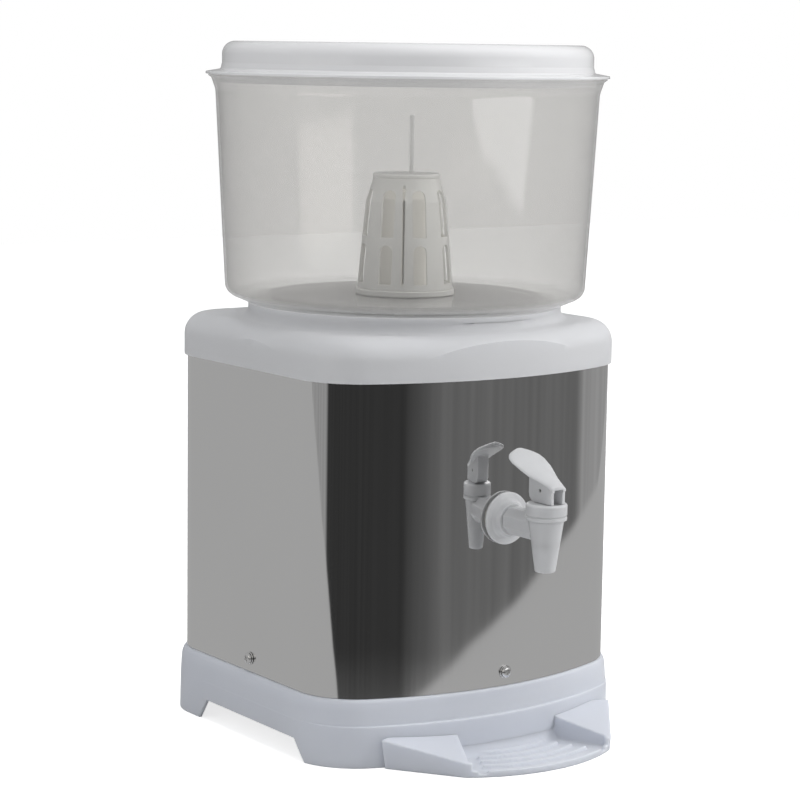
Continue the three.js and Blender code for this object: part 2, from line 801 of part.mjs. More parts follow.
function makeCartridgeBase() {
  const spigot = cageOuter - cageWall - cageGap;
  const bottom = tubSeat - outletReach + hubFloor;
  const profile = [
    [outletBore, bottom],
    [outletRadius, bottom],
    [outletRadius, baseBottom + sealRecess],
    [sealRadius + touchGap, baseBottom + sealRecess],
    [sealRadius + touchGap, baseBottom],
    [cartridgeBaseRadius, baseBottom],
    [cartridgeBaseRadius, baseTop],
    [spigot, baseTop],
    [spigot, baseTop + spigotHeight],
    [spigot - cageWall, baseTop + spigotHeight],
    [spigot - cageWall, baseTop],
    [outletBore, baseTop],
  ];
  return solid(turned(profile, cageSteps));
}

function makeCandle() {
  const bottom = baseTop + touchGap;
  const domeTop = cageTop - capSpigot - candleNeck;
  const shoulder = domeTop - candleDome;
  const profile = [
    [0, bottom],
    [candleRadius, bottom],
    [candleRadius, shoulder],
    [candleRadius * 0.93, shoulder + candleDome * 0.5],
    [candleRadius * 0.72, shoulder + candleDome * 0.85],
    [0, domeTop],
  ];
  return solid(turned(profile, midSteps));
}

function makeCap() {
  const spigot = cageNeck - cageWall - cageGap;
  const bottom = capTop - capThickness;
  const profile = [
    [0, bottom],
    [spigot - cageWall, bottom],
    [spigot - cageWall, bottom - capSpigot],
    [spigot, bottom - capSpigot],
    [spigot, bottom],
    [cageNeck, bottom],
    [cageNeck, capTop - capThickness / 4],
    [cageNeck - capThickness / 4, capTop],
    [0, capTop],
  ];
  const hole = ring(0, ventRadius + touchGap, bottom - capSpigot, capTop + overrun, smallSteps);
  return solid(turned(profile, cageSteps)).subtract(hole.translate([ventShift, 0, 0]));
}

function makeVent() {
  const bottom = capTop - capThickness - capSpigot / 2;
  return ring(ventBore, ventRadius, bottom, capTop + ventHeight - capThickness, smallSteps)
    .translate([ventShift, 0, 0]);
}

// Under the tub's floor: a washer and a wing nut on the cartridge's outlet
const nutWasherRadius = 16;
const nutWasherThickness = 1.5;
const wingSpan = 24;
const wingWidth = 5;
const wingHubRadius = 12;
const wingHeight = 8.4;

function makeWingNut() {
  const top = floorBottom - nutWasherThickness - 2 * touchGap;
  const bottom = top - wingHeight;
  let nut = ring(0, wingHubRadius, bottom, top, midSteps);
  const wing = block(2 * wingSpan, wingWidth, wingHeight, 0, 0, (top + bottom) / 2);
  const round = ring(0, wingSpan, bottom, top, midSteps);
  nut = nut.add(wing.intersect(round));
  return nut.subtract(ring(0, outletRadius + touchGap, bottom - overrun, top + overrun, midSteps));
}

// Tap: an upright body on a shank that passes through the panel and the reservoir
const tapY = frontApex - tapReach;
const nozzleDrop = 30.1;
const nozzleRadius = 7.2;
const nozzleBore = 5.3;
const seatDrop = 11.9;
const shoulderRise = 6.1;
const shoulderRadius = 12.4;
const tapThread = 11.6;
const tapThreadHeight = 8;
const chamberRadius = 9;
const shankFlats = 19;
const shankRadius = 8;
const shankBore = 5;
const shankEnd = 98;
const nozzleBottom = tapHeight - nozzleDrop;
const seatHeight = tapHeight - seatDrop;
const shoulderHeight = tapHeight + shoulderRise;
const threadTop = shoulderHeight + tapThreadHeight;
const bonnetHeight = 12;
const bonnetTop = shoulderHeight + bonnetHeight;
const bonnetRoof = 3;
const bonnetEase = 1.6;
const stemRadius = 3;
const stemGap = 0.4;

// Stack on the shank, outwards and inwards from the walls that it clamps
const gasketThickness = 1;
const gasketRadius = 16.4;
const trumpetRadius = 18.7;
const trumpetRim = 1.8;
const trumpetDepth = 8;
const trumpetWaist = 12.5;
const trumpetNeck = 11.5;
const innerGasketThickness = 2;
const tapNutRadius = 14;
const tapNutThickness = 8;
const outerGasketFace = frontApex - touchGap;
const trumpetBack = outerGasketFace - gasketThickness - touchGap;
const trumpetFront = trumpetBack - trumpetDepth;
const innerGasketFace = bossFace + touchGap;
const tapNutFace = innerGasketFace + innerGasketThickness + touchGap;

function alongShank(profile, steps) {
  return solid(turnedAlongY(profile, steps).translate(0, 0, tapHeight));
}

function shankRing(inner, outer, front, back, steps) {
  return alongShank([[inner, front], [outer, front], [outer, back], [inner, back]], steps);
}

function makeTapBody() {
  const shell = [
    [0, nozzleBottom],
    [nozzleRadius, nozzleBottom],
    [shoulderRadius, shoulderHeight],
    [tapThread, shoulderHeight],
    [tapThread, threadTop],
    [0, threadTop],
  ];
  const flats = (shankFlats / 2) / Math.cos(quarter / 4);
  const neck = new THREE.CylinderGeometry(flats, flats, -tapY + trumpetFront - touchGap, 8, 1);
  const neckY = (tapY + trumpetFront - touchGap) / 2;
  const room = ring(0, bonnetRadius + touchGap, shoulderHeight, bonnetTop, midSteps);
  let body = solid(neck.rotateY(quarter / 4).translate(0, neckY, tapHeight));
  body = body.add(shankRing(0, shankRadius, tapY, -shankEnd, midSteps));
  body = body.subtract(room.translate([0, tapY, 0]));
  body = body.add(solid(turned(shell, midSteps).translate(0, tapY, 0)));
  const chamber = ring(0, chamberRadius, seatHeight, threadTop + overrun, midSteps);
  const nozzle = ring(0, nozzleBore, nozzleBottom - overrun, seatHeight + overrun, midSteps);
  body = body.subtract(chamber.translate([0, tapY, 0])).subtract(nozzle.translate([0, tapY, 0]));
  return body.subtract(shankRing(0, shankBore, tapY, overrun - shankEnd, smallSteps));
}

function makeTrumpet() {
  const bore = shankRadius + touchGap;
  return alongShank([
    [bore, trumpetBack],
    [trumpetRadius, trumpetBack],
    [trumpetRadius, trumpetBack - trumpetRim],
    [(trumpetRadius + trumpetNeck) / 2 - trumpetRim / 4, trumpetBack - trumpetRim * 1.5],
    [trumpetWaist, trumpetBack - trumpetDepth * 0.55],
    [trumpetNeck, trumpetFront],
    [bore, trumpetFront],
  ], midSteps);
}

function makeTapNut() {
  const back = tapNutFace + tapNutThickness;
  const nut = shankRing(0, tapNutRadius, tapNutFace, back, 6);
  return nut.subtract(shankRing(0, shankRadius + touchGap, tapNutFace - overrun, back + overrun, midSteps));
}

// Bonnet, a cap nut over the valve with a hole for the stem
function makeBonnet() {
  const inner = tapThread + touchGap;
  const bottom = shoulderHeight + touchGap;
  const profile = [
    [inner, bottom],
    [bonnetRadius, bottom],
    [bonnetRadius, bonnetTop - bonnetEase],
    [bonnetRadius - bonnetEase * 0.4, bonnetTop - bonnetEase * 0.4],
    [bonnetRadius - bonnetEase, bonnetTop],
    [stemRadius + stemGap, bonnetTop],
    [stemRadius + stemGap, bonnetTop - bonnetRoof],
    [inner, bonnetTop - bonnetRoof],
  ];
  return solid(turned(profile, midSteps)).translate([0, tapY, 0]);
}

// Valve: plug, stem, spring and the washer under the spring
const pinRise = 9;
const pinRadius = 1.2;
const stemHead = 2.5;
const plugRadius = 7.5;
const plugHeight = 9.7;
const plugBlind = 1.4;
const carrierRadius = 8;
const carrierThickness = 0.8;
const springRadius = 5.5;
const springWire = 0.8;
const springTurns = 5;
const springSteps = 8;
const springSides = 5;
const pinHeight = bonnetTop + pinRise;
const plugBottom = seatHeight + touchGap;
const plugTop = plugBottom + plugHeight;
const carrierBottom = plugTop + touchGap;
const springBottom = carrierBottom + carrierThickness + touchGap;
const springTop = bonnetTop - bonnetRoof - touchGap;

// A round bar along X through the pin's axis, grown by a clearance
function crossPin(clearance, half) {
  const radius = pinRadius + clearance;
  return solid(new THREE.CylinderGeometry(radius, radius, 2 * half, smallSteps, 1).rotateZ(quarter));
}

function makeStem() {
  const bottom = plugBottom + plugBlind + touchGap;
  const stem = ring(0, stemRadius, bottom, pinHeight + stemHead, smallSteps);
  const hole = crossPin(touchGap, 2 * stemRadius).translate([0, 0, pinHeight]);
  return stem.subtract(hole).translate([0, tapY, 0]);
}

function makePlug() {
  const blind = stemRadius + touchGap;
  const profile = [
    [0, plugBottom],
    [plugRadius * 0.9, plugBottom],
    [plugRadius, plugBottom + plugBlind / 2],
    [plugRadius, plugTop],
    [blind, plugTop],
    [blind, plugBottom + plugBlind],
    [0, plugBottom + plugBlind],
  ];
  return solid(turned(profile, midSteps)).translate([0, tapY, 0]);
}

// Compression spring: one unbroken wire along a helix
function makeSpring() {
  const rings = [];
  const wire = springWire / 2;
  const climb = springTop - springBottom - springWire;
  const count = springTurns * springSteps;
  for (let step = 0; step <= count; step += 1) {
    const turn = (4 * quarter * step) / springSteps;
    const height = springBottom + wire + (climb * step) / count;
    const section = [];
    for (let side = 0; side < springSides; side += 1) {
      const around = (4 * quarter * side) / springSides;
      const reach = springRadius + wire * Math.cos(around);
      const rise = height + wire * Math.sin(around);
      section.push(new THREE.Vector3(reach * Math.cos(turn), tapY + reach * Math.sin(turn), rise));
    }
    rings.push(section);
  }
  const end = rings[0].map((point) => new THREE.Vector2(point.x, point.z));
  return solid(loft(rings, [end, end]));
}

// Push lever: a forked block with a cam heel and a paddle that rises back towards the panel
const leverHalf = 6;
const leverSlotHalf = 3.8;
const leverReach = 12.5;
const heelRadius = 6;
const slotReach = 8.4;
const slotHead = 4.6;
const slotHeadTurn = 150 * degree;
const slotMouth = 1.6;
const paddleThickness = 3.8;
const paddleCrown = 0.9;
const paddleHalf = 14.6;
const paddleLength = 45.4;
const paddleRise = 20.8;
const paddleStart = 4.2;
const paddleNose = 0.8;
const leverBottom = bonnetTop + touchGap - pinHeight;

// Shares of the paddle's length, half width and rise at the stations along it
const paddleShares = [
  [0, 0.43, 0],
  [0.1, 0.47, 0.11],
  [0.27, 0.61, 0.26],
  [0.43, 0.8, 0.4],
  [0.58, 0.93, 0.57],
  [0.76, 1, 0.75],
  [0.86, 0.95, 0.85],
  [0.94, 0.76, 0.93],
  [0.98, 0.52, 0.975],
  [1, 0.3, 1],
];

function paddleSection([lengthShare, widthShare, riseShare]) {
  const y = lengthShare * paddleLength - leverReach - paddleNose;
  const top = paddleStart + riseShare * paddleRise;
  const half = widthShare * paddleHalf;
  const under = top - paddleThickness;
  const edge = top - paddleCrown - paddleThickness / 4;
  return [
    [-half * 0.8, under - paddleCrown * 0.6],
    [0, under],
    [half * 0.8, under - paddleCrown * 0.6],
    [half, edge],
    [half * 0.55, top - paddleCrown * 0.3],
    [0, top],
    [-half * 0.55, top - paddleCrown * 0.3],
    [-half, edge],
  ].map(([x, z]) => new THREE.Vector3(x, y, z));
}

// Side outlines run in Y and Z from the pin's axis and are pushed out along X
function sideways(outline, half) {
  const settings = { depth: 2 * half, bevelEnabled: false };
  const body = new THREE.ExtrudeGeometry(new THREE.Shape(points2(outline)), settings);
  return solid(body.translate(0, 0, -half).rotateX(quarter).rotateZ(quarter));
}

function makeLever() {
  const paddleCore = paddleStart - paddleThickness / 2;
  const heel = arc(leverReach - heelRadius, leverBottom + heelRadius, heelRadius, -quarter, 0, filletSteps);
  const fork = sideways([
    [-leverReach, leverBottom],
    ...heel,
    [leverReach, paddleCore + paddleRise * 0.54],
    [0, paddleCore + paddleRise * 0.26],
    [-leverReach, paddleCore],
  ], leverHalf);
  const sections = paddleShares.map(paddleSection);
  const end = sections[0].map((point) => new THREE.Vector2(point.x, point.z));
  const paddle = solid(loft(sections, [end, end]));
  const roof = arc(0, 0, slotHead, 0, slotHeadTurn, filletSteps);
  const slot = sideways([
    [-leverReach - overrun, leverBottom - overrun],
    [slotReach, leverBottom - overrun],
    [slotReach, -slotHead],
    ...roof,
    [-leverReach - overrun, slotMouth],
  ], leverSlotHalf);
  const lever = fork.add(paddle).subtract(slot).subtract(crossPin(touchGap, 2 * leverHalf));
  return lever.translate([0, tapY, pinHeight]);
}

function makePin() {
  return crossPin(0, leverHalf - touchGap).translate([0, tapY, pinHeight]);
}

// Scene
place('base', makeBase(), looks.mouldedWhite);
place('steel_jacket', makeJacket(), looks.steel);
for (let number = 0; number < rivetCount; number += 1) {
  place(`jacket_rivet_${number + 1}`, makeRivet(number), looks.screwSteel);
}
for (const [side, spot] of Object.entries(screwSpots)) {
  place(`jacket_screw_${side}`, makeScrew(spot), looks.screwSteel);
  place(`screw_washer_${side}`, makeWasher(spot), looks.screwSteel);
}
place('reservoir', makeReservoir(), looks.frosted);
place('top_cover', makeCover(), looks.mouldedWhite);
place('tub', makeTub(), looks.frosted);
place('lid', makeLid(), looks.frosted);
place('cartridge_base', makeCartridgeBase(), looks.cage);
place('cartridge_cage', makeCage(), looks.cage);
place('cartridge_cap', makeCap(), looks.cage);
place('filter_candle', makeCandle(), looks.ceramic);
place('vent_tube', makeVent(), looks.cage);
const sealBottom = floorTop + touchGap;
place('outlet_seal', ring(outletRadius + touchGap, sealRadius, sealBottom,
  sealBottom + sealThickness - touchGap, midSteps), looks.silicone);
const underWasherTop = floorBottom - touchGap;
place('outlet_washer', ring(outletRadius + touchGap, nutWasherRadius,
  underWasherTop - nutWasherThickness, underWasherTop, midSteps), looks.silicone);
place('wing_nut', makeWingNut(), looks.cage);
place('tap_body', makeTapBody(), looks.tapWhite);
place('tap_collar', makeTrumpet(), looks.tapWhite);
place('outer_gasket', shankRing(shankRadius + touchGap, gasketRadius,
  outerGasketFace - gasketThickness, outerGasketFace, midSteps), looks.silicone);
place('inner_gasket', shankRing(shankRadius + touchGap, bossRadius - touchGap,
  innerGasketFace, innerGasketFace + innerGasketThickness, midSteps), looks.silicone);
place('tap_nut', makeTapNut(), looks.tapWhite);
place('tap_bonnet', makeBonnet(), looks.tapWhite);
place('valve_plug', makePlug(), looks.rubber);
place('valve_stem', makeStem(), looks.tapWhite);
place('spring_washer', ring(stemRadius + stemGap, carrierRadius, carrierBottom,
  carrierBottom + carrierThickness, midSteps).translate([0, tapY, 0]), looks.screwSteel);
place('tap_spring', makeSpring(), looks.screwSteel);
place('lever_pin', makePin(), looks.screwSteel);
place('lever', makeLever(), looks.tapWhite);

export default group;
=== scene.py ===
"""Gravity water filter: fine pieces over the frame, their finishes, and the stage."""

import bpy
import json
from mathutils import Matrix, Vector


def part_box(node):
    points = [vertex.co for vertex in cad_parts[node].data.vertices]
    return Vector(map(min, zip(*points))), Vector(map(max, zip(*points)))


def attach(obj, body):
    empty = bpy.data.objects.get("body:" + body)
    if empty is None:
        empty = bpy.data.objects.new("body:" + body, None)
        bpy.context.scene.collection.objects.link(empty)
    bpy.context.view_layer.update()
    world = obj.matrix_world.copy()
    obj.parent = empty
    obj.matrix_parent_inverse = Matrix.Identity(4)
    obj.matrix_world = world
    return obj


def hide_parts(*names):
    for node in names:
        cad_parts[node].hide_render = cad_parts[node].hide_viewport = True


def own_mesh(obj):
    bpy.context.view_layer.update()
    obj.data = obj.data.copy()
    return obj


bl_info = {
    "name": "Gravity Water Filter",
    "version": (1, 0, 0),
    "blender": (4, 5, 0),
    "location": "3D View > Sidebar > Water Filter",
    "description": "Builds a gravity water filter with a push tap round its frame",
    "category": "Object",
}

import json
import math

import bmesh
import bpy
import numpy as np
from bpy.props import FloatProperty, FloatVectorProperty, IntProperty, PointerProperty
from mathutils import Matrix, Vector

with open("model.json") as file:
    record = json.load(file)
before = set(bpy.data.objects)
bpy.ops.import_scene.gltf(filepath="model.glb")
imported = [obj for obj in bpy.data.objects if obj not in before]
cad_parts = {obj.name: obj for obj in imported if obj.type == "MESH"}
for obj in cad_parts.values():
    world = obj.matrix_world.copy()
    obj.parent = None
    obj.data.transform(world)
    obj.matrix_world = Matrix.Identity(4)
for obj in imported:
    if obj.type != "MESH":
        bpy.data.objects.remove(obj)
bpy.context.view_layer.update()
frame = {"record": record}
BODY_OF = {name: body for body, names in frame["record"]["behaviour"]["bodies"].items() for name in names}

# Measures are in millimetres from the tub's upright axis and the floor
MM = 0.001
QUARTER = math.pi / 2
AXIS_Y = sum(corner[1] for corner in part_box("lid")) / 2 / MM


def extent(node):
    """Lowest and highest corner of a node of the frame."""
    return [np.array(corner) / MM - (0, AXIS_Y, 0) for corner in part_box(node)]


def span(node, axis):
    """The node's lowest and highest value along one axis."""
    return tuple(float(corner["xyz".index(axis)]) for corner in extent(node))


def middle(node):
    return sum(extent(node)) / 2


TAP_Y = float(middle("tap_bonnet")[1])
TAP_Z = float(middle("outer_gasket")[2])
PIN_Z = float(middle("lever_pin")[2])
JACKET_BOTTOM, JACKET_TOP = span("steel_jacket", "z")
COVER_BOTTOM, COLLAR_TOP = span("top_cover", "z")
PLATE_TOP = COLLAR_TOP - 10.5
TUB_SEAT = COLLAR_TOP + 0.3
TUB_RIM = span("tub", "z")[1]
BRIM_BOTTOM = TUB_RIM + 0.3
LID_TOP = span("lid", "z")[1]

# Cabinet in plan
HALF = 130.0
BACK = 118.6
SIDE_FRONT = 91.6
BOW = 34.1
FRONT_CORNER = 47.0
BACK_CORNER = 35.0
FRONT_APEX = -(SIDE_FRONT + BOW)
BOW_RADIUS = (HALF ** 2 + BOW ** 2) / (2 * BOW)


# Sizes and colours that can be changed from the sidebar

def length(name, description, default, low, high):
    return FloatProperty(name=name, description=description, default=default, min=low, max=high, unit="LENGTH",
                         precision=4)


def tint(name, description, default):
    return FloatVectorProperty(name=name, description=description, default=default, subtype="COLOR", min=0, max=1)


def share(name, description, default):
    return FloatProperty(name=name, description=description, default=default, min=0, max=1, subtype="FACTOR")


class FilterSizes(bpy.types.PropertyGroup):
    tub_wall: length("Tub wall", "Thickness of the upper tub's wall", 0.0018, 0.0012, 0.003)
    lid_wall: length("Lid wall", "Thickness of the lid", 0.0018, 0.0012, 0.003)
    ridge_count: IntProperty(name="Ridges", description="Drip ridges on the tray's floor", default=4, min=0, max=5)
    ridge_width: length("Ridge width", "Width of each drip ridge", 0.0032, 0.001, 0.006)
    ridge_height: length("Ridge height", "Height of the ridges over the tray's floor", 0.0024, 0.001, 0.004)
    rib_count: IntProperty(name="Deck ribs", description="Ribs each way under the deck", default=2, min=1, max=4)
    rib_pitch: length("Rib pitch", "Distance between the ribs under the deck", 0.084, 0.03, 0.1)
    rib_thickness: length("Rib thickness", "Thickness of the ribs under the deck", 0.0024, 0.001, 0.004)
    rivet_radius: length("Rivet radius", "Radius of the rivets' heads", 0.0031, 0.002, 0.004)
    screw_radius: length("Screw radius", "Radius of the screws' heads", 0.0039, 0.003, 0.0045)
    slot_width: length("Slot width", "Width of the slots in the screws' heads", 0.001, 0.0005, 0.0015)
    window_columns: IntProperty(name="Window columns", description="Columns of windows round the cage", default=8,
                                min=4, max=10)
    window_width: length("Window width", "Width of the cage's windows", 0.0104, 0.004, 0.014)
    spring_turns: FloatProperty(name="Spring turns", description="Turns of the tap's spring", default=5, min=3, max=7)
    spring_wire: length("Spring wire", "Thickness of the spring's wire", 0.0008, 0.0004, 0.001)


class FilterColours(bpy.types.PropertyGroup):
    cabinet: tint("Cover", "Moulded top cover", (0.69, 0.695, 0.71))
    foot: tint("Base", "Moulded base with its tray", (0.68, 0.705, 0.765))
    tap: tint("Tap", "Tap and lever", (0.62, 0.625, 0.635))
    cartridge: tint("Cartridge", "Cage, cap and fittings of the cartridge", (0.88, 0.87, 0.835))
    candle: tint("Candle", "Porous filter candle", (0.95, 0.91, 0.84))
    tub: tint("Tub", "Milky plastic of the upper tub", (0.72, 0.71, 0.69))
    lid: tint("Lid", "Milky plastic of the lid", (0.92, 0.92, 0.93))
    tank: tint("Reservoir", "Milky plastic of the reservoir", (0.7, 0.72, 0.73))
    steel: tint("Steel", "Polished sheet of the jacket", (0.84, 0.837, 0.833))
    seals: tint("Seals", "Silicone seals and washers", (0.6, 0.58, 0.54))
    haze: share("Haze", "Share of the view that one skin of the tub's wall veils", 0.14)
    lid_haze: share("Lid haze", "Share of the view that one skin of the lid veils", 0.7)


class FilterStage(bpy.types.PropertyGroup):
    key: FloatProperty(name="Key light", description="Power of the light from the front right", default=39,
                       unit="POWER")
    fill: FloatProperty(name="Fill light", description="Power of the light from the left", default=5, unit="POWER")
    top: FloatProperty(name="Top light", description="Power of the light overhead", default=68, unit="POWER")
    ambient: share("Ambient", "Even light from all round", 0.42)


def sizes():
    return bpy.context.scene.filter_sizes


def colours():
    return bpy.context.scene.filter_colours


# Profiles and meshes

def arc(cx, cy, radius, start, end, shares):
    """Points on an arc, at shares of the way from one angle to the other."""
    angle = start + (end - start) * np.asarray(shares, float)
    return np.column_stack([cx + radius * np.cos(angle), cy + radius * np.sin(angle)])


def curve(cx, cy, radius, start, end, steps):
    """The same, at even steps with both ends, as pairs."""
    return [tuple(p) for p in arc(cx, cy, radius, start, end, np.linspace(0, 1, steps + 1))]


def soften(profile, radius, segments=4):
    """A closed profile with its corners rounded; a point's third value is its own radius."""
    result = []
    count = len(profile)
    for i, point in enumerate(profile):
        here, before, after = (np.array(p[:2], float) for p in (point, profile[i - 1], profile[(i + 1) % count]))
        wish = point[2] if len(point) > 2 else radius
        back, ahead = before - here, after - here
        lengths = np.linalg.norm(back), np.linalg.norm(ahead)
        if wish <= 0 or here[0] < 1e-6 or min(lengths) < 1e-6:
            result.append(tuple(here))
            continue
        back, ahead = back / lengths[0], ahead / lengths[1]
        angle = math.acos(np.clip(back @ ahead, -1, 1))
        if math.pi - angle < 0.16:
            result.append(tuple(here))
            continue
        cut = min(wish / math.tan(angle / 2), 0.42 * lengths[0], 0.42 * lengths[1])
        size = cut * math.tan(angle / 2)
        centre = here + (back + ahead) / np.linalg.norm(back + ahead) * size / math.sin(angle / 2)
        start, end = here + back * cut - centre, here + ahead * cut - centre
        sweep = math.atan2(start[0] * end[1] - start[1] * end[0], start @ end)
        first = math.atan2(start[1], start[0])
        result.append(tuple(here + back * cut * 1.15))
        result += curve(*centre, size, first, first + sweep, segments)
        result.append(tuple(here + ahead * cut * 1.15))
    return result


def band(inner, outer, low, high, ease=0.3):
    """Profile of a plain ring or disc with eased edges."""
    return soften([(inner, low), (outer, low), (outer, high), (inner, high)], ease, 3)


def lathe(profile, steps=144):
    """Points and faces of a closed profile of radius and height, turned about the upright axis."""
    outline = np.array([p[:2] for p in profile], float)
    radius, height = outline.T
    if np.sum(radius * np.roll(height, -1) - np.roll(radius, -1) * height) < 0:
        outline = outline[::-1]
    turn = 2 * math.pi * np.arange(steps) / steps
    points, rings = [], []
    for reach, level in outline:
        first = len(points)
        if reach < 1e-6:
            points.append((0, 0, level))
            rings.append([first] * steps)
        else:
            points += [(reach * math.cos(t), reach * math.sin(t), level) for t in turn]
            rings.append(list(range(first, first + steps)))
    faces = []
    for one, other in zip(rings, rings[1:] + rings[:1]):
        if one[0] == one[1] and other[0] == other[1]:
            continue
        for k in range(steps):
            n = (k + 1) % steps
            faces.append(list(dict.fromkeys((one[k], one[n], other[n], other[k]))))
    return np.array(points), faces


def skin(rings, low_pole=None, high_pole=None, closed=False, capped=False):
    """Points and faces through rings of equal counts, with a pole, a flat end or nothing at each end."""
    count = len(rings[0])
    points = [tuple(p) for ring in rings for p in ring]
    last = (len(rings) - 1) * count
    faces = []
    for level in range(len(rings) - 1):
        for k in range(count):
            n = (k + 1) % count
            a, b = level * count, (level + 1) * count
            faces.append([a + k, a + n, b + n, b + k])
    if closed:
        faces += [[last + k, last + (k + 1) % count, (k + 1) % count, k] for k in range(count)]
    if capped:
        faces += [list(range(count))[::-1], list(range(last, last + count))]
    if low_pole is not None:
        points.append(tuple(low_pole))
        faces += [[(k + 1) % count, k, len(points) - 1] for k in range(count)]
    if high_pole is not None:
        points.append(tuple(high_pole))
        faces += [[last + k, last + (k + 1) % count, len(points) - 1] for k in range(count)]
    return np.array(points, float), faces


def prism(outline, bottom, top):
    """An upright prism over a plan outline that runs anticlockwise."""
    return skin([[(x, y, z) for x, y in outline] for z in (bottom, top)], capped=True)


def sideways(outline, half, y=0.0, z=0.0):
    """A prism along X over an outline in Y and Z."""
    return skin([[(x, y + p, z + q) for p, q in outline] for x in (-half, half)], capped=True)


def block(low, high):
    corners = [(low[0], low[1]), (high[0], low[1]), (high[0], high[1]), (low[0], high[1])]
    return prism(corners, low[2], high[2])


def along_y(shape):
    """A turned shape laid down, its heights growing towards the back."""
    points, faces = shape
    return np.column_stack([points[:, 0], points[:, 2], -points[:, 1]]), faces


def turned(shape, angle):
    """A shape turned about the upright axis."""
    c, s = math.cos(angle), math.sin(angle)
    return shape[0] @ np.array([[c, s, 0], [-s, c, 0], [0, 0, 1]]), shape[1]


def moved(shape, x=0.0, y=0.0, z=0.0):
    return shape[0] + np.array([x, y, z], float), shape[1]


def united(*shapes):
    points, faces, first = [], [], 0
    for part, part_faces in shapes:
        points.append(part)
        faces += [[first + i for i in face] for face in part_faces]
        first += len(part)
    return np.vstack(points), faces


def outward(mesh):
    """Turns the faces so that every closed skin looks outward."""
    bm = bmesh.new()
    bm.from_mesh(mesh)
    bmesh.ops.recalc_face_normals(bm, faces=bm.faces)
    bm.to_mesh(mesh)
    bm.free()


def shaded(mesh, sharp=38):
    mesh.shade_smooth()
    mesh.set_sharp_from_angle(angle=math.radians(sharp))


def made(name, shape, sharp=38):
    """A mesh object of a shape, in place of an older one of that name."""
    older = bpy.data.objects.get(name)
    if older:
        bpy.data.objects.remove(older)
    points, faces = shape
    mesh = bpy.data.meshes.new(name)
    mesh.from_pydata(((points + (0, AXIS_Y, 0)) * MM).tolist(), [], faces)
    mesh.update()
    outward(mesh)
    shaded(mesh, sharp)
    obj = bpy.data.objects.new(name, mesh)
    bpy.context.scene.collection.objects.link(obj)
    return obj


def settle(obj):
    """Leaves what the modifiers make as the object's plain mesh."""
    evaluated = obj.evaluated_get(bpy.context.evaluated_depsgraph_get())
    mesh = bpy.data.meshes.new_from_object(evaluated)
    if not mesh.polygons:
        raise RuntimeError(f"{obj.name} has no faces left")
    obj.modifiers.clear()
    obj.data = mesh
    return obj


def combine(obj, shape, operation):
    """Joins, cuts or keeps the overlap of obj with a shape."""
    other = shape if isinstance(shape, bpy.types.Object) else made("tool", shape)
    change = obj.modifiers.new(operation.title(), "BOOLEAN")
    change.operation, change.solver, change.object = operation, "EXACT", other
    settle(obj)
    bpy.data.objects.remove(other)
    return obj


def moulded(obj, voxel, passes):
    """One even skin over everything in obj, its corners eased as a mould leaves them."""
    remesh = obj.modifiers.new("Skin", "REMESH")
    remesh.mode, remesh.voxel_size, remesh.use_smooth_shade = "VOXEL", voxel * MM, True
    ease = obj.modifiers.new("Ease", "SMOOTH")
    ease.factor, ease.iterations = 0.5, passes
    return settle(obj)


def dressed(obj, look, *nodes):
    """Gives a finished piece its material, sets it under the body of the nodes that it stands for, and hides those
    nodes.
    """
    obj.data.materials.clear()
    obj.data.materials.append(finish(look))
    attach(obj, BODY_OF[nodes[0]])
    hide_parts(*nodes)
    return obj


# Node trees

def node(tree, kind, inputs=None, **settings):
    """A node with its settings, and its inputs as values or links."""
    new = tree.nodes.new(kind)
    for key, value in settings.items():
        setattr(new, key, value)
    for key, value in (inputs or {}).items():
        if isinstance(value, bpy.types.NodeSocket):
            tree.links.new(value, new.inputs[key])
        else:
            new.inputs[key].default_value = value
    return new


def sums(tree, operation, a, b=0.0, c=0.0):
    """The outcome of one sum on numbers or sockets."""
    return node(tree, "ShaderNodeMath", {0: a, 1: b, 2: c}, operation=operation).outputs[0]


def growth(name, **inputs):
    """A new tree with geometry in and out and the named inputs, given as a socket kind and a value."""
    tree = bpy.data.node_groups.new(name, "GeometryNodeTree")
    tree.is_modifier = True
    tree.interface.new_socket("Geometry", in_out="OUTPUT", socket_type="NodeSocketGeometry")
    tree.interface.new_socket("Geometry", in_out="INPUT", socket_type="NodeSocketGeometry")
    for label, (kind, value) in inputs.items():
        socket = tree.interface.new_socket(label, in_out="INPUT", socket_type="NodeSocket" + kind)
        socket.default_value = value
    tree.interface.new_socket("Material", in_out="INPUT", socket_type="NodeSocketMaterial")
    return tree, tree.nodes.new("NodeGroupInput").outputs


def ended(tree, given, geometry):
    """Closes a tree with real geometry in its material."""
    real = node(tree, "GeometryNodeRealizeInstances", {"Geometry": geometry})
    painted = node(tree, "GeometryNodeSetMaterial", {"Geometry": real.outputs[0], "Material": given["Material"]})
    output = tree.nodes.new("NodeGroupOutput")
    tree.links.new(painted.outputs[0], output.inputs["Geometry"])
    return tree


def grown(obj, tree, look, **values):
    """Runs a tree on obj and leaves its plain mesh."""
    change = obj.modifiers.new(tree.name, "NODES")
    change.node_group = tree
    values["Material"] = finish(look)
    for item in tree.interface.items_tree:
        if item.item_type == "SOCKET" and item.in_out == "INPUT" and item.name in values:
            change[item.identifier] = values[item.name]
    settle(obj)
    outward(obj.data)
    shaded(obj.data)
    return obj


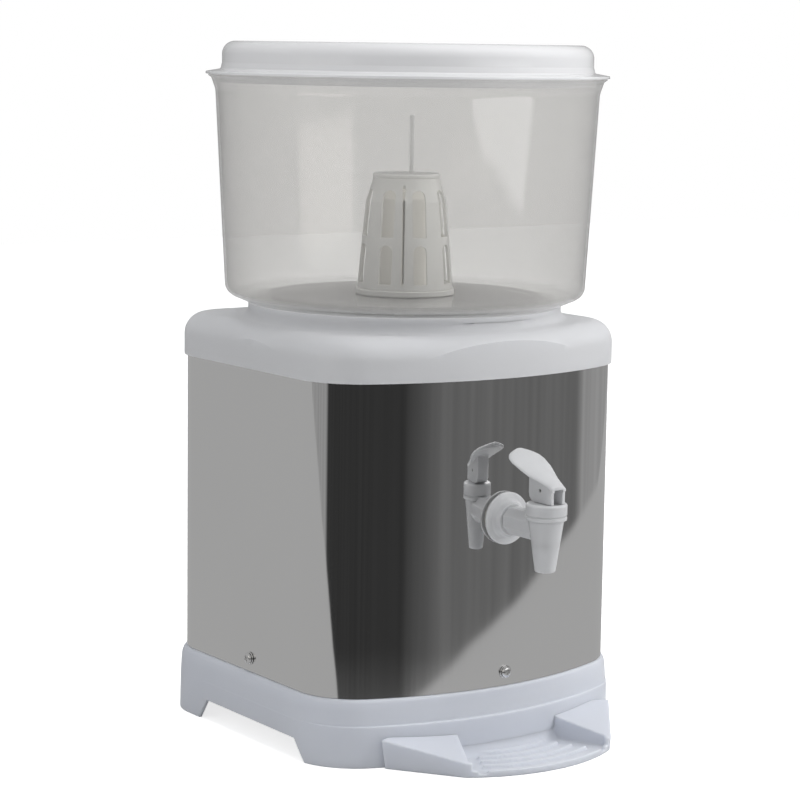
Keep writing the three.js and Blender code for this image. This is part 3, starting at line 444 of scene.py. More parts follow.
def turning_at_spots():
    """Turns a drawn outline into a solid and sets one at each loose point, slotted across if asked."""
    tree, given = growth(
        "Turning at Spots", Steps=("Int", 32), Slotted=("Bool", False), Slot=("Float", 1 * MM),
        Reach=("Float", 4.3 * MM), Depth=("Float", 1.1 * MM), Crown=("Float", 0.0))
    edges = node(tree, "GeometryNodeInputMeshVertexNeighbors").outputs["Vertex Count"]
    loose = node(tree, "FunctionNodeCompare", {2: edges, 3: 0}, data_type="INT", operation="EQUAL")
    parted = node(tree, "GeometryNodeSeparateGeometry",
                  {"Geometry": given["Geometry"], "Selection": loose.outputs[0]}, domain="POINT")
    outline = node(tree, "GeometryNodeMeshToCurve", {"Mesh": parted.outputs["Inverted"]})
    axis = node(tree, "GeometryNodeCurvePrimitiveCircle", {"Resolution": given["Steps"], "Radius": 0.01 * MM})
    body = node(tree, "GeometryNodeCurveToMesh",
                {"Curve": axis.outputs["Curve"], "Profile Curve": outline.outputs["Curve"]})
    body = node(tree, "GeometryNodeMergeByDistance", {"Geometry": body.outputs[0], "Distance": 0.03 * MM})
    cut = node(tree, "GeometryNodeMeshBoolean", {"Mesh 1": body.outputs[0], "Self Intersection": True},
               operation="DIFFERENCE", solver="EXACT")
    depth = sums(tree, "MULTIPLY", given["Depth"], 2.0)
    place = node(tree, "ShaderNodeCombineXYZ", {2: given["Crown"]})
    for across in ((given["Reach"], given["Slot"]), (given["Slot"], given["Reach"])):
        size = node(tree, "ShaderNodeCombineXYZ", {0: across[0], 1: across[1], 2: depth})
        bar = node(tree, "GeometryNodeMeshCube", {"Size": size.outputs[0]})
        bar = node(tree, "GeometryNodeTransform", {"Geometry": bar.outputs["Mesh"], "Translation": place.outputs[0]})
        tree.links.new(bar.outputs[0], cut.inputs["Mesh 2"])
    either = node(tree, "GeometryNodeSwitch", {"Switch": given["Slotted"], "False": body.outputs[0],
                                               "True": cut.outputs["Mesh"]}, input_type="GEOMETRY")
    facing = node(tree, "GeometryNodeInputNamedAttribute", {"Name": "facing"}, data_type="FLOAT_VECTOR")
    spin = node(tree, "FunctionNodeEulerToRotation", {0: facing.outputs["Attribute"]})
    placed = node(tree, "GeometryNodeInstanceOnPoints",
                  {"Points": parted.outputs["Selection"], "Instance": either.outputs[0],
                   "Rotation": spin.outputs[0]})
    return ended(tree, given, placed.outputs[0])


def ring_of_copies():
    """Sets copies of the mesh round the upright axis."""
    tree, given = growth("Ring of Copies", Count=("Int", 8), First=("Float", 0.0), Back=("Float", 0.0))
    spots = node(tree, "GeometryNodePoints", {"Count": given["Count"]})
    number = node(tree, "GeometryNodeInputIndex").outputs[0]
    part = sums(tree, "DIVIDE", sums(tree, "ADD", number, 0.5), given["Count"])
    turn = sums(tree, "MULTIPLY_ADD", part, 4 * QUARTER, given["First"])
    euler = node(tree, "ShaderNodeCombineXYZ", {2: turn})
    spin = node(tree, "FunctionNodeEulerToRotation", {0: euler.outputs[0]})
    placed = node(tree, "GeometryNodeInstanceOnPoints",
                  {"Points": spots.outputs[0], "Instance": given["Geometry"], "Rotation": spin.outputs[0]})
    return ended(tree, given, placed.outputs[0])


def crossed_bars():
    """Parallel bars along both ways of the plan, a pitch apart."""
    tree, given = growth("Crossed Bars", Count=("Int", 2), Pitch=("Float", 84 * MM), Thickness=("Float", 2.4 * MM),
                         Depth=("Float", 8 * MM), Length=("Float", 0.25), Height=("Float", 40 * MM),
                         Back=("Float", 0.0))
    less = sums(tree, "SUBTRACT", given["Count"], 1.0)
    first = sums(tree, "MULTIPLY", sums(tree, "MULTIPLY", less, given["Pitch"]), -0.5)
    start = node(tree, "ShaderNodeCombineXYZ", {0: first})
    offset = node(tree, "ShaderNodeCombineXYZ", {0: given["Pitch"]})
    row = node(tree, "GeometryNodeMeshLine", {"Count": given["Count"], "Start Location": start.outputs[0],
                                              "Offset": offset.outputs[0]})
    size = node(tree, "ShaderNodeCombineXYZ", {0: given["Thickness"], 1: given["Length"], 2: given["Depth"]})
    bar = node(tree, "GeometryNodeMeshCube", {"Size": size.outputs[0]})
    bars = node(tree, "GeometryNodeInstanceOnPoints", {"Points": row.outputs[0], "Instance": bar.outputs["Mesh"]})
    across = node(tree, "GeometryNodeTransform", {"Geometry": bars.outputs[0], "Rotation": (0, 0, QUARTER)})
    both = node(tree, "GeometryNodeJoinGeometry")
    for one in (bars, across):
        tree.links.new(one.outputs[0], both.inputs[0])
    place = node(tree, "ShaderNodeCombineXYZ", {1: given["Back"], 2: given["Height"]})
    placed = node(tree, "GeometryNodeTransform", {"Geometry": both.outputs[0], "Translation": place.outputs[0]})
    return ended(tree, given, placed.outputs[0])


def coil():
    """A wire wound upward, with a dead turn at each end."""
    tree, given = growth("Coil", Radius=("Float", 5.5 * MM), Wire=("Float", 0.8 * MM), Turns=("Float", 5.0),
                         Tall=("Float", 12 * MM), Back=("Float", 0.0), Height=("Float", 0.0))
    line = node(tree, "GeometryNodeCurveSpiral",
                {"Resolution": 40, "Rotations": given["Turns"], "Start Radius": given["Radius"],
                 "End Radius": given["Radius"], "Height": 0.0})
    way = sums(tree, "MULTIPLY", node(tree, "GeometryNodeSplineParameter").outputs["Factor"], given["Turns"])
    last = sums(tree, "SUBTRACT", given["Turns"], 1.0)
    dead = sums(tree, "ADD", sums(tree, "MINIMUM", way, 1.0),
                sums(tree, "MAXIMUM", sums(tree, "SUBTRACT", way, last), 0.0))
    live = node(tree, "ShaderNodeMapRange", {"Value": way, "From Min": 1.0, "From Max": last}).outputs[0]
    free = sums(tree, "MULTIPLY_ADD", given["Wire"], -3.0, given["Tall"])
    rise = sums(tree, "MULTIPLY_ADD", dead, given["Wire"], sums(tree, "MULTIPLY", live, free))
    lift = node(tree, "ShaderNodeCombineXYZ", {2: rise})
    wound = node(tree, "GeometryNodeSetPosition", {"Geometry": line.outputs[0], "Offset": lift.outputs[0]})
    round_wire = node(tree, "GeometryNodeCurvePrimitiveCircle",
                      {"Resolution": 10, "Radius": sums(tree, "MULTIPLY", given["Wire"], 0.5)})
    wire = node(tree, "GeometryNodeCurveToMesh", {"Curve": wound.outputs[0],
                                                  "Profile Curve": round_wire.outputs[0], "Fill Caps": True})
    place = node(tree, "ShaderNodeCombineXYZ", {1: given["Back"], 2: given["Height"]})
    placed = node(tree, "GeometryNodeTransform", {"Geometry": wire.outputs[0], "Translation": place.outputs[0]})
    return ended(tree, given, placed.outputs[0])


def at_spots(name, profile, spots, look, steps=32, **values):
    """A piece of like turned solids; each spot is a place, then the turns about X, Y and Z."""
    count = len(profile)
    closed = profile[0][0] > 1e-6
    edges = [(i, i + 1) for i in range(count - 1)] + ([(count - 1, 0)] if closed else [])
    points = [(r, -h, 0) for r, h in (p[:2] for p in profile)]
    places = [(x, y + AXIS_Y, z) for (x, y, z), _ in spots]
    mesh = bpy.data.meshes.new(name)
    mesh.from_pydata((np.array(points + places) * MM).tolist(), edges, [])
    facing = mesh.attributes.new("facing", "FLOAT_VECTOR", "POINT")
    turns = [(0, 0, 0)] * count + [turn for _, turn in spots]
    facing.data.foreach_set("vector", np.array(turns, float).ravel())
    older = bpy.data.objects.get(name)
    if older:
        bpy.data.objects.remove(older)
    obj = bpy.data.objects.new(name, mesh)
    bpy.context.scene.collection.objects.link(obj)
    return grown(obj, turning_at_spots(), look, Steps=steps, **values)


# Finishes

def fresh_look(name):
    look = bpy.data.materials.new("filter_" + name)
    look.use_nodes = True
    look.node_tree.nodes.clear()
    return look, look.node_tree


def mottled(tree, colour, variation, scale=14.0):
    """A colour with a faint cloud in it, and the object's own place."""
    place = node(tree, "ShaderNodeTexCoord").outputs["Object"]
    cloud = node(tree, "ShaderNodeTexNoise", {"Vector": place, "Scale": scale, "Detail": 3.0})
    dark = [c * (1 - variation) for c in colour] + [1.0]
    light = [min(1.0, c * (1 + variation)) for c in colour] + [1.0]
    blend = node(tree, "ShaderNodeMix", {0: cloud.outputs["Fac"], 6: dark, 7: light}, data_type="RGBA")
    return blend.outputs[2], place


def grained(tree, place, scale, depth):
    """A fine moulded skin as a normal."""
    noise = node(tree, "ShaderNodeTexNoise", {"Vector": place, "Scale": scale, "Detail": 2.0})
    return node(tree, "ShaderNodeBump", {"Height": noise.outputs["Fac"], "Distance": depth, "Strength": 0.6}).outputs[0]


def plastic(name, colour, roughness, depth=0.00002, scale=900.0, variation=0.03, glow=0.0):
    """Moulded plastic; its glow is the share of light that spreads under the skin."""
    look, tree = fresh_look(name)
    tone, place = mottled(tree, colour, variation)
    shader = node(tree, "ShaderNodeBsdfPrincipled", {
        "Base Color": tone, "Roughness": roughness, "Normal": grained(tree, place, scale, depth), "IOR": 1.49,
        "Subsurface Weight": glow, "Subsurface Radius": (1.0, 1.0, 1.0), "Subsurface Scale": 0.006})
    node(tree, "ShaderNodeOutputMaterial", {"Surface": shader.outputs[0]})
    return look


def frosted(name, colour, haze, rim, clear, roughness=0.1):
    """Milky plastic: each skin veils part of the view, more at a glancing angle, and scatters light inward."""
    look, tree = fresh_look(name)
    tone, place = mottled(tree, colour, 0.02, 9.0)
    normal = grained(tree, place, 500.0, 0.00002)
    milk = node(tree, "ShaderNodeBsdfPrincipled",
                {"Base Color": tone, "Roughness": 0.5, "IOR": 1.45, "Normal": normal})
    path = node(tree, "ShaderNodeLightPath")
    soft = sums(tree, "MAXIMUM", path.outputs["Is Shadow Ray"], path.outputs["Is Diffuse Ray"])
    passing = node(tree, "ShaderNodeMix", {0: soft, 6: (*clear, 1.0), 7: (0.98, 0.98, 0.98, 1.0)}, data_type="RGBA")
    through = node(tree, "ShaderNodeBsdfTransparent", {"Color": passing.outputs[2]})
    facing = node(tree, "ShaderNodeLayerWeight", {"Blend": 0.35}).outputs["Facing"]
    veil = node(tree, "ShaderNodeMapRange", {"Value": facing, "To Min": haze, "To Max": rim}).outputs[0]
    thin = sums(tree, "MULTIPLY", veil, sums(tree, "MULTIPLY_ADD", soft, -0.8, 1.0))
    wall = node(tree, "ShaderNodeMixShader", {0: thin, 1: through.outputs[0], 2: milk.outputs[0]})
    gloss = node(tree, "ShaderNodeBsdfPrincipled", {
        "Base Color": (0.95, 0.95, 0.95, 1.0), "Metallic": 1.0, "Roughness": roughness, "Normal": normal})
    inner_side = node(tree, "ShaderNodeNewGeometry").outputs["Backfacing"]
    bend = sums(tree, "MULTIPLY_ADD", inner_side, 1 / 1.42 - 1.42, 1.42)
    mirror = node(tree, "ShaderNodeFresnel", {"IOR": bend, "Normal": normal})
    shader = node(tree, "ShaderNodeMixShader", {0: mirror.outputs[0], 1: wall.outputs[0], 2: gloss.outputs[0]})
    node(tree, "ShaderNodeOutputMaterial", {"Surface": shader.outputs[0]})
    return look


def polished(name, colour, roughness, stretch=(900.0, 900.0, 12.0), depth=0.000003):
    """Metal with a fine grain along its stretch and slight waves in the sheet."""
    look, tree = fresh_look(name)
    tone, place = mottled(tree, colour, 0.02, 6.0)
    drawn = node(tree, "ShaderNodeMapping", {"Vector": place, "Scale": stretch})
    grain = node(tree, "ShaderNodeTexNoise", {"Vector": drawn.outputs[0], "Scale": 1.0, "Detail": 3.0})
    rough = node(tree, "ShaderNodeMapRange", {
        "Value": grain.outputs["Fac"], "To Min": roughness * 0.7, "To Max": roughness * 1.3})
    waves = node(tree, "ShaderNodeTexNoise", {"Vector": place, "Scale": 16.0, "Detail": 1.0})
    broad = node(tree, "ShaderNodeBump", {"Height": waves.outputs["Fac"], "Distance": 0.0002, "Strength": 0.35})
    fine = node(tree, "ShaderNodeBump", {
        "Height": grain.outputs["Fac"], "Distance": depth, "Strength": 0.5, "Normal": broad.outputs[0]})
    shader = node(tree, "ShaderNodeBsdfPrincipled", {
        "Base Color": tone, "Metallic": 1.0, "Roughness": rough.outputs[0], "Normal": fine.outputs[0]})
    node(tree, "ShaderNodeOutputMaterial", {"Surface": shader.outputs[0]})
    return look


def finish(name):
    """The material of that finish, made when it is first asked for."""
    made_before = bpy.data.materials.get("filter_" + name)
    if made_before:
        return made_before
    c = colours()
    return {
        "moulded_white": lambda: plastic(name, c.cabinet, 0.36, glow=0.5),
        "moulded_base": lambda: plastic(name, c.foot, 0.36, glow=0.6),
        "tap_white": lambda: plastic(name, c.tap, 0.15, glow=0.4),
        "cage_plastic": lambda: frosted(name, c.cartridge, 0.85, 0.95, (0.95, 0.95, 0.94), 0.4),
        "vent_plastic": lambda: frosted(name, (0.97, 0.97, 0.95), 0.4, 0.6, (1, 1, 1), 0.3),
        "candle_ceramic": lambda: plastic(name, c.candle, 0.9, 0.0001, 500.0, 0.08),
        "rubber": lambda: plastic(name, (0.04, 0.04, 0.045), 0.75),
        "silicone": lambda: plastic(name, c.seals, 0.5),
        "tub_frosted": lambda: frosted(name, c.tub, c.haze, 0.4, (0.94, 0.937, 0.93)),
        "lid_frosted": lambda: frosted(name, c.lid, c.lid_haze, 0.85, (0.95, 0.95, 0.95)),
        "tank_plastic": lambda: frosted(name, c.tank, 0.5, 0.9, (0.9, 0.9, 0.9), 0.3),
        "stainless_sheet": lambda: polished(name, c.steel, 0.035),
        "fastener_steel": lambda: polished(name, c.steel, 0.25, (300.0, 300.0, 300.0)),
    }[name]()


# Cabinet outline, each call with the same layout of points

SIDE_SHARES = np.unique(np.append(np.linspace(0, 1, 17), [0.811, 0.886]))
CORNER_SHARES = np.linspace(0, 1, 15)
FRONT_SHARES = np.unique(np.append(np.linspace(0, 1, 21), [0.028, 0.211]))
BACK_SHARES = np.unique(np.append(np.linspace(0, 1, 17), [0.105, 0.163, 0.837, 0.895]))
BOW_SHARES = np.linspace(0, 1, 61)


def cabinet(offset, extra_bow=0.0):
    bow = BOW + extra_bow
    radius = (HALF ** 2 + bow ** 2) / (2 * bow)
    centre = radius - bow - SIDE_FRONT
    corner_x = HALF - FRONT_CORNER
    corner_y = centre - math.sqrt((radius - FRONT_CORNER) ** 2 - corner_x ** 2)
    lean = math.atan2(corner_x, centre - corner_y)
    back_x, back_y = HALF - BACK_CORNER, BACK - BACK_CORNER
    side = HALF + offset

    def line(start, end, shares):
        along = np.asarray(shares)[:, None]
        return np.array(start) * (1 - along) + np.array(end) * along

    def flipped(shares):
        return np.sort(1 - shares)

    parts = [
        line((side, corner_y), (side, back_y), SIDE_SHARES),
        arc(back_x, back_y, BACK_CORNER + offset, 0, QUARTER, CORNER_SHARES),
        line((back_x, BACK + offset), (-back_x, BACK + offset), BACK_SHARES),
        arc(-back_x, back_y, BACK_CORNER + offset, QUARTER, 2 * QUARTER, CORNER_SHARES),
        line((-side, back_y), (-side, corner_y), flipped(SIDE_SHARES)),
        arc(-corner_x, corner_y, FRONT_CORNER + offset, 2 * QUARTER, 3 * QUARTER - lean, FRONT_SHARES),
        arc(0, centre, radius + offset, 3 * QUARTER - lean, 3 * QUARTER + lean, BOW_SHARES),
        arc(corner_x, corner_y, FRONT_CORNER + offset, 3 * QUARTER + lean, 4 * QUARTER, flipped(FRONT_SHARES)),
    ]
    return np.vstack([part[:-1] for part in parts])


def level(offset, height, extra_bow=0.0):
    """The cabinet's outline at a height, which may differ from point to point."""
    plan = cabinet(offset, extra_bow)
    return np.column_stack([plan, np.broadcast_to(height, len(plan))])


def screw_spots():
    """Where the jacket's screws sit and how they face, their heads outward."""
    headings = {"front": 0.0, "left": -QUARTER, "right": QUARTER, "back": 2 * QUARTER}
    spots = []
    for turn, (side, heading) in zip((0.3, 1.1, 0.6, 0.9), headings.items()):
        x, y, z = middle("screw_washer_" + side)
        spots.append(((x, y, z), (QUARTER, turn, heading)))
    return spots


def rivet_spots():
    spots = []
    for number in range(1, 5):
        x, _, z = middle(f"jacket_rivet_{number}")
        spots.append(((x, BACK + 0.3, z), (-QUARTER, 0.0, 0.0)))
    return spots


def borings(spots, radius, depth=9.0):
    """Round cutters through the sheet at the spots."""
    shapes = []
    for (x, y, z), turn in spots:
        rod = along_y(lathe([(0, -depth), (radius, -depth), (radius, depth), (0, depth)], 24))
        shapes.append(moved(turned(rod, turn[2]), x, y, z))
    return united(*shapes)


# Base

def arch_height():
    """Height of the skirt's lower edge at each point of the outline."""
    x, y = cabinet(4.6).T
    side = np.minimum(np.minimum((y + 75) / 11, (67 - y) / 11), 1) * (np.abs(x) > 100)
    back = np.minimum((75 - np.abs(x)) / 11, 1) * (y > 100)
    return 15.6 * np.clip(np.maximum(side, back), 0, 1)


def make_skirt():
    lift = arch_height()

    def raised(offset, height, bow, ceiling):
        return level(offset, height + lift * max(0.0, 1 - height / ceiling), bow)

    outer = [(3.0, 0.0), (4.6, 0.0), (4.98, 0.2), (5.18, 0.7), (5.17, 1.5), (5.05, 7), (4.9, 15), (4.75, 22),
             (4.64, 27.4)]
    rings = [level(-1.6, 43.6), level(-1.3, 43.5), raised(-1.3, 43.1, 0, 43.6)]
    rings += [raised(s, h, 0, 43.6) for s, h in
              ((-0.6, 34), (0.2, 24), (1.0, 14), (1.7, 6), (2.15, 1.0), (2.3, 0.3), (2.6, 0.0))]
    rings += [raised(s, h, 0, 29.5) for s, h in outer]
    rings += [raised(4.62, 28.7, 0, 29.5)]
    rings += [level(o, z, b) for o, z, b in (
        (4.6, 29.15, -0.1), (4.59, 29.38, -0.32), (4.58, 29.5, -0.62), (4.57, 29.54, -1.0), (4.57, 29.57, -1.6),
        (4.56, 29.68, -2.0), (4.54, 29.95, -2.24), (4.5, 30.5, -2.3), (4.3, 34, -2.3), (4.1, 37.5, -2.3),
        (3.92, 40.4, -2.28), (3.84, 41.3, -2.2), (3.6, 42.6, -1.95), (3.1, 44.3, -1.4), (2.7, 45.4, -0.9),
        (2.15, 46.4, -0.45), (1.6, 47.15, -0.1), (1.25, 47.6, 0), (0.8, 47.98, 0), (0.3, 48.1, 0),
        (-1.2, 48.1, 0), (-1.36, 48.15, 0), (-1.4, 48.4, 0), (-1.4, 62.6, 0), (-1.5, 63.2, 0), (-2.0, 63.6, 0),
        (-3.2, 63.6, 0), (-3.7, 63.2, 0), (-3.8, 62.6, 0), (-3.8, 47.4, 0), (-4.0, 46.8, 0), (-4.6, 46.6, 0))]
    skirt = made("base_skirt", skin(rings, (0, 0, 43.6), (0, 0, 46.6)))
    combine(skirt, borings(screw_spots(), 2.1), "DIFFERENCE")
    shaded(skirt.data)
    return skirt


def make_ribs():
    """Ribs under the deck, trimmed to the skirt's inside."""
    s = sizes()
    ribs = grown(made("deck_ribs", block((-1, -1, 0), (1, 1, 1))), crossed_bars(), "moulded_base",
                 Count=s.rib_count, Pitch=s.rib_pitch, Thickness=s.rib_thickness, Depth=0.007, Length=0.27,
                 Height=0.0401, Back=AXIS_Y * MM)
    combine(ribs, prism([tuple(p) for p in cabinet(-1.0)], 30, 46), "INTERSECT")
    shaded(ribs.data)
    return ribs


TRAY_FRONT = 183.0
TRAY_HALF = 64.0
TRAY_ROOT = 99.0
TRAY_BACK = 117.0
TRAY_SHIFT = 5.0


def tray_arc(inset, half, steps=40):
    radius = (TRAY_HALF ** 2 + 18 ** 2) / 36
    lean = math.asin(half / (radius - inset))
    return curve(0, radius - TRAY_FRONT, radius - inset, 3 * QUARTER - lean, 3 * QUARTER + lean, steps)


def make_tray():
    s = sizes()
    foot = tray_arc(0, TRAY_HALF) + [(TRAY_ROOT, -TRAY_BACK), (60, -100), (-60, -100), (-TRAY_ROOT, -TRAY_BACK)]
    spread = 1 + 2.2 / TRAY_HALF
    top = 21.5
    rings = [[(x, y, 0) for x, y in foot], [(x * spread, y, top) for x, y in foot]]
    body = made("tray", skin(rings, capped=True))
    slope = math.atan(10.3 / 46)
    above = made("above", prism([(-200, -400), (200, -400), (200, 60), (-200, 60)], 0, 60))
    above.data.transform(Matrix.Translation((0, (AXIS_Y - TRAY_BACK) * MM, top * MM))
                         @ Matrix.Rotation(slope, 4, "X")
                         @ Matrix.Translation((0, -(AXIS_Y - TRAY_BACK) * MM, 0)))
    combine(body, above, "DIFFERENCE")
    bowl = tray_arc(3, 61) + [(30, -TRAY_BACK + 20), (-30, -TRAY_BACK + 20)]
    lip = tray_arc(-2, 61.5) + [(30, -TRAY_BACK), (-30, -TRAY_BACK)]
    cuts = [prism(bowl, 2.6, 60), prism(lip, 5.0, 60)]
    for side in (1, -1):
        x, y = tray_arc(1.5, 53, 1)[0]
        drain = turned(block((-3.5, -3, 2.6), (3.5, 3, 5.6)), math.atan2(x, y) * side)
        cuts.append(moved(drain, -x * side, y))
    for cut in cuts:
        combine(body, cut, "DIFFERENCE")
    shapes = []
    for number in range(s.ridge_count):
        inset = 12.4 + 10.8 * number
        half = 61 - 31 * inset / (TRAY_FRONT - TRAY_BACK) - 9
        wide, high = s.ridge_width / MM, s.ridge_height / MM
        outline = tray_arc(inset, half) + tray_arc(inset + wide, half - 1.6)[::-1]
        shapes.append(prism(outline, 1.6, 2.6 + high))
    wall = 264.85 + 5.0
    profile = [(wall - 3, 1.6), (wall + 8, 1.6), (wall + 8, 2.6)]
    profile += curve(wall + 8, 10.6, 8, 3 * QUARTER, 2 * QUARTER, 8)[1:] + [(wall - 3, 10.6)]
    swing = math.asin(57 / 264.85)
    rings = []
    for x, y in curve(0, 139.15, 1, 3 * QUARTER - swing, 3 * QUARTER + swing, 30):
        rings.append([(x * r - TRAY_SHIFT, 139.15 + (y - 139.15) * r, z) for r, z in profile])
    cove = made("cove", skin(rings, capped=True))
    combine(cove, prism(tray_arc(2, 61) + [(32, -100), (-32, -100)], 0, 30), "INTERSECT")
    extras = [cove] + ([made("ridges", united(*shapes))] if shapes else [])
    joined = bmesh.new()
    joined.from_mesh(body.data)
    for extra in extras:
        joined.from_mesh(extra.data)
        bpy.data.objects.remove(extra)
    joined.to_mesh(body.data)
    joined.free()
    body.data.transform(Matrix.Translation((TRAY_SHIFT * MM, 0, 0)))
    return moulded(body, 0.8, 4)


# Jacket, its fasteners, the reservoir and the cover

def make_jacket():
    rows = [JACKET_BOTTOM, JACKET_BOTTOM + 0.15] + list(np.linspace(JACKET_BOTTOM + 6, JACKET_TOP - 6, 24))
    rows += [JACKET_TOP - 0.15, JACKET_TOP]
    rings = [level(-0.8, z) for z in rows[::-1]] + [level(0, z) for z in rows]
    jacket = made("jacket", skin(rings, closed=True))
    seam = 10.0
    low, high = 66.6, JACKET_TOP - 3
    face = BACK - 0.8 - 0.3
    slit = block((seam - 0.3, BACK - 3, 0), (seam + 0.3, BACK + 3, 400))
    shank = moved(along_y(lathe([(0, -150), (8.7, -150), (8.7, 0), (0, 0)], 64)), z=TAP_Z)
    lap = [(seam - 22, face - 0.8), (seam + 8, face - 0.8), (seam + 9, face - 0.2), (seam + 10, face + 0.7),
           (seam + 4.3, face + 0.7), (seam + 3.7, face), (seam - 22, face)]
    combine(jacket, slit, "DIFFERENCE")
    combine(jacket, shank, "DIFFERENCE")
    combine(jacket, prism(lap, low, high), "UNION")
    combine(jacket, borings(screw_spots() + rivet_spots(), 2.0), "DIFFERENCE")
    shaded(jacket.data, 30)
    return jacket


def make_rivets():
    s = sizes()
    head = s.rivet_radius / MM
    tail = -0.3 - 0.8 - 0.3 - 0.8 - 0.6
    dome = [(head * math.cos(a), 1.1 * math.sin(a)) for a in np.linspace(0.12, QUARTER, 8)[:-1]]
    profile = [(0, tail - 1.1), (2.0, tail - 1.1), (2.17, tail - 0.9), (2.17, tail), (1.6, tail), (1.6, 0),
               (head, 0)] + dome + [(0, 1.1)]
    return at_spots("rivets", profile, rivet_spots(), "fastener_steel")


def make_screws():
    s = sizes()
    head, seat = s.screw_radius / MM, 0.65
    crown = seat + 2.3
    profile = [(0, seat - 8), (1.2, seat - 8), (1.6, seat - 7.4), (1.6, seat), (head - 0.1, seat), (head, seat + 0.15),
               (head, seat + 0.75), (head * 0.95, seat + 1.25), (head * 0.8, seat + 1.8), (head * 0.55, seat + 2.15),
               (head * 0.25, crown), (0, crown)]
    return at_spots("screws", profile, screw_spots(), "fastener_steel", 40, Slotted=True, Slot=s.slot_width,
                    Reach=head * 1.1 * MM, Depth=1.1 * MM, Crown=crown * MM)


def make_washers():
    return at_spots("washers", band(1.9, 4.7, -0.35, 0.35, 0.2), screw_spots(), "fastener_steel", 40)


def make_reservoir():
    low, top = span("reservoir", "z")
    rings = [level(o, z) for o, z in (
        (-10.8, low), (-10, low + 0.05), (-8.6, low + 0.9), (-7.3, low + 2.3), (-6.5, low + 4.4), (-6.1, low + 6.6),
        (-6, low + 9), (-6, top - 3.5), (-5.8, top - 2.7), (-5.2, top - 2.5), (-0.5, top - 2.5), (-0.2, top - 2.2),
        (-0.2, top - 0.3), (-0.5, top), (-7.2, top), (-8.0, top - 0.3), (-8.2, top - 1), (-8.2, low + 10.5),
        (-8.35, low + 8), (-8.8, low + 6), (-9.6, low + 4.3), (-10.9, low + 3), (-12.4, low + 2.5))]
    tank = made("tank", skin(rings, (0, 0, low), (0, 0, low + 2.5)))
    face = FRONT_APEX + 8.9
    boss = made("boss", moved(along_y(lathe(band(0, 16, FRONT_APEX - 2, face, 0.5), 64)), z=TAP_Z))
    combine(boss, prism([tuple(p) for p in cabinet(-1.1)], low, top), "INTERSECT")
    combine(tank, boss, "UNION")
    combine(tank, moved(along_y(lathe([(0, -150), (8.7, -150), (8.7, -60), (0, -60)], 64)), z=TAP_Z), "DIFFERENCE")
    shaded(tank.data, 32)
    return tank


def smooth_max(a, b, reach):
    blend = np.maximum(reach - np.abs(a - b), 0) / reach
    return np.maximum(a, b) + blend * blend * reach / 4


def make_cover():
    fillet = 16.0
    start = PLATE_TOP - fillet

    def flare(radius):
        inside = PLATE_TOP + 7 - np.sqrt(np.maximum(49 - np.minimum(radius - 122, 0) ** 2, 0))
        out = np.maximum(radius - 122, 0)
        return np.where(radius < 122, inside, PLATE_TOP - 0.65 * out - 0.03 * out ** 2)

    rings = [level(o, z) for o, z in (
        (0.5, COVER_BOTTOM + 0.3), (0.8, COVER_BOTTOM), (1.9, COVER_BOTTOM), (2.3, COVER_BOTTOM + 0.2),
        (2.4, COVER_BOTTOM + 0.7), (2.4, COVER_BOTTOM + 6), (2.4, start - 2))]
    for angle in np.linspace(0, QUARTER, 15):
        plan = cabinet(2.4 - fillet * (1 - math.cos(angle)))
        radius = np.hypot(*plan.T)
        base = start + fillet * math.sin(angle)
        rings.append(np.column_stack([plan, smooth_max(np.full(len(plan), base), flare(radius), 1.6)]))
    edge = cabinet(2.4 - fillet)
    turn = np.arctan2(edge[:, 1], edge[:, 0])
    reach = np.hypot(*edge.T)

    def circle(radius, height):
        radius = np.broadcast_to(radius, len(turn))
        height = np.broadcast_to(height, len(turn))
        return np.column_stack([radius * np.cos(turn), radius * np.sin(turn), height])

    for step in range(1, 19):
        radius = 115 + (reach - 115) * (1 - step / 19) ** 2.2
        rings.append(circle(radius, smooth_max(np.full(len(turn), PLATE_TOP), flare(radius), 1.6)))
    top = COLLAR_TOP
    under = PLATE_TOP - 3
    rings += [circle(r, z) for r, z in (
        (115, top - 3.4), (115, top - 1.4), (114.6, top - 0.45), (113.6, top), (112.5, top), (103, top),
        (102, top), (101.3, top - 0.4), (101, top - 1.2), (101, under + 0.6), (101.2, under), (104.2, under),
        (104.5, under + 0.4), (104.5, top - 3.4), (104.9, top - 3), (110.1, top - 3), (110.5, top - 3.4),
        (110.5, under + 0.4), (110.9, under))]
    rings += [level(o, z) for o, z in (
        (-11, under), (-2.4, 290.4), (-2.2, 289.6), (-2.2, 287.3), (-2.0, 287.1), (0.2, 287.1), (0.4, 286.9))]
    return made("cover", skin(rings, closed=True))


# Tub, lid and cartridge

def tub_profile():
    wall = sizes().tub_wall / MM
    corner = (123.2, TUB_SEAT + 13.25)
    bend = math.radians(-67), math.radians(-3)
    floor = TUB_SEAT + 3.2
    rim = TUB_RIM
    outer = [(7.6, floor), (98, floor, 1.2), (98, TUB_SEAT - 8.3), (100, TUB_SEAT - 8.3), (100, TUB_SEAT, 0.8),
             (115, TUB_SEAT, 1)]
    outer += [(*p, 0) for p in curve(*corner, 9, *bend, 12)]
    outer += [(139.6, rim - 10.9, 14), (141.1, rim - 6.5, 10), (142.5, rim - 2.4, 1), (144.8, rim - 0.8, 0.6),
              (144.8, rim, 0.4), (142.5, rim, 0.6), (140.8 - wall, rim - 5.5, 8), (139.6 - wall, rim - 10.9, 14)]
    outer += [(*p, 0) for p in curve(*corner, 9 - wall, *bend[::-1], 12)]
    outer += [(116, TUB_SEAT + 2.5, 1.5), (102, TUB_SEAT + 2.5, 1.5), (100, floor + 2.5, 1.2), (7.6, floor + 2.5)]
    return soften(outer, 0.4)


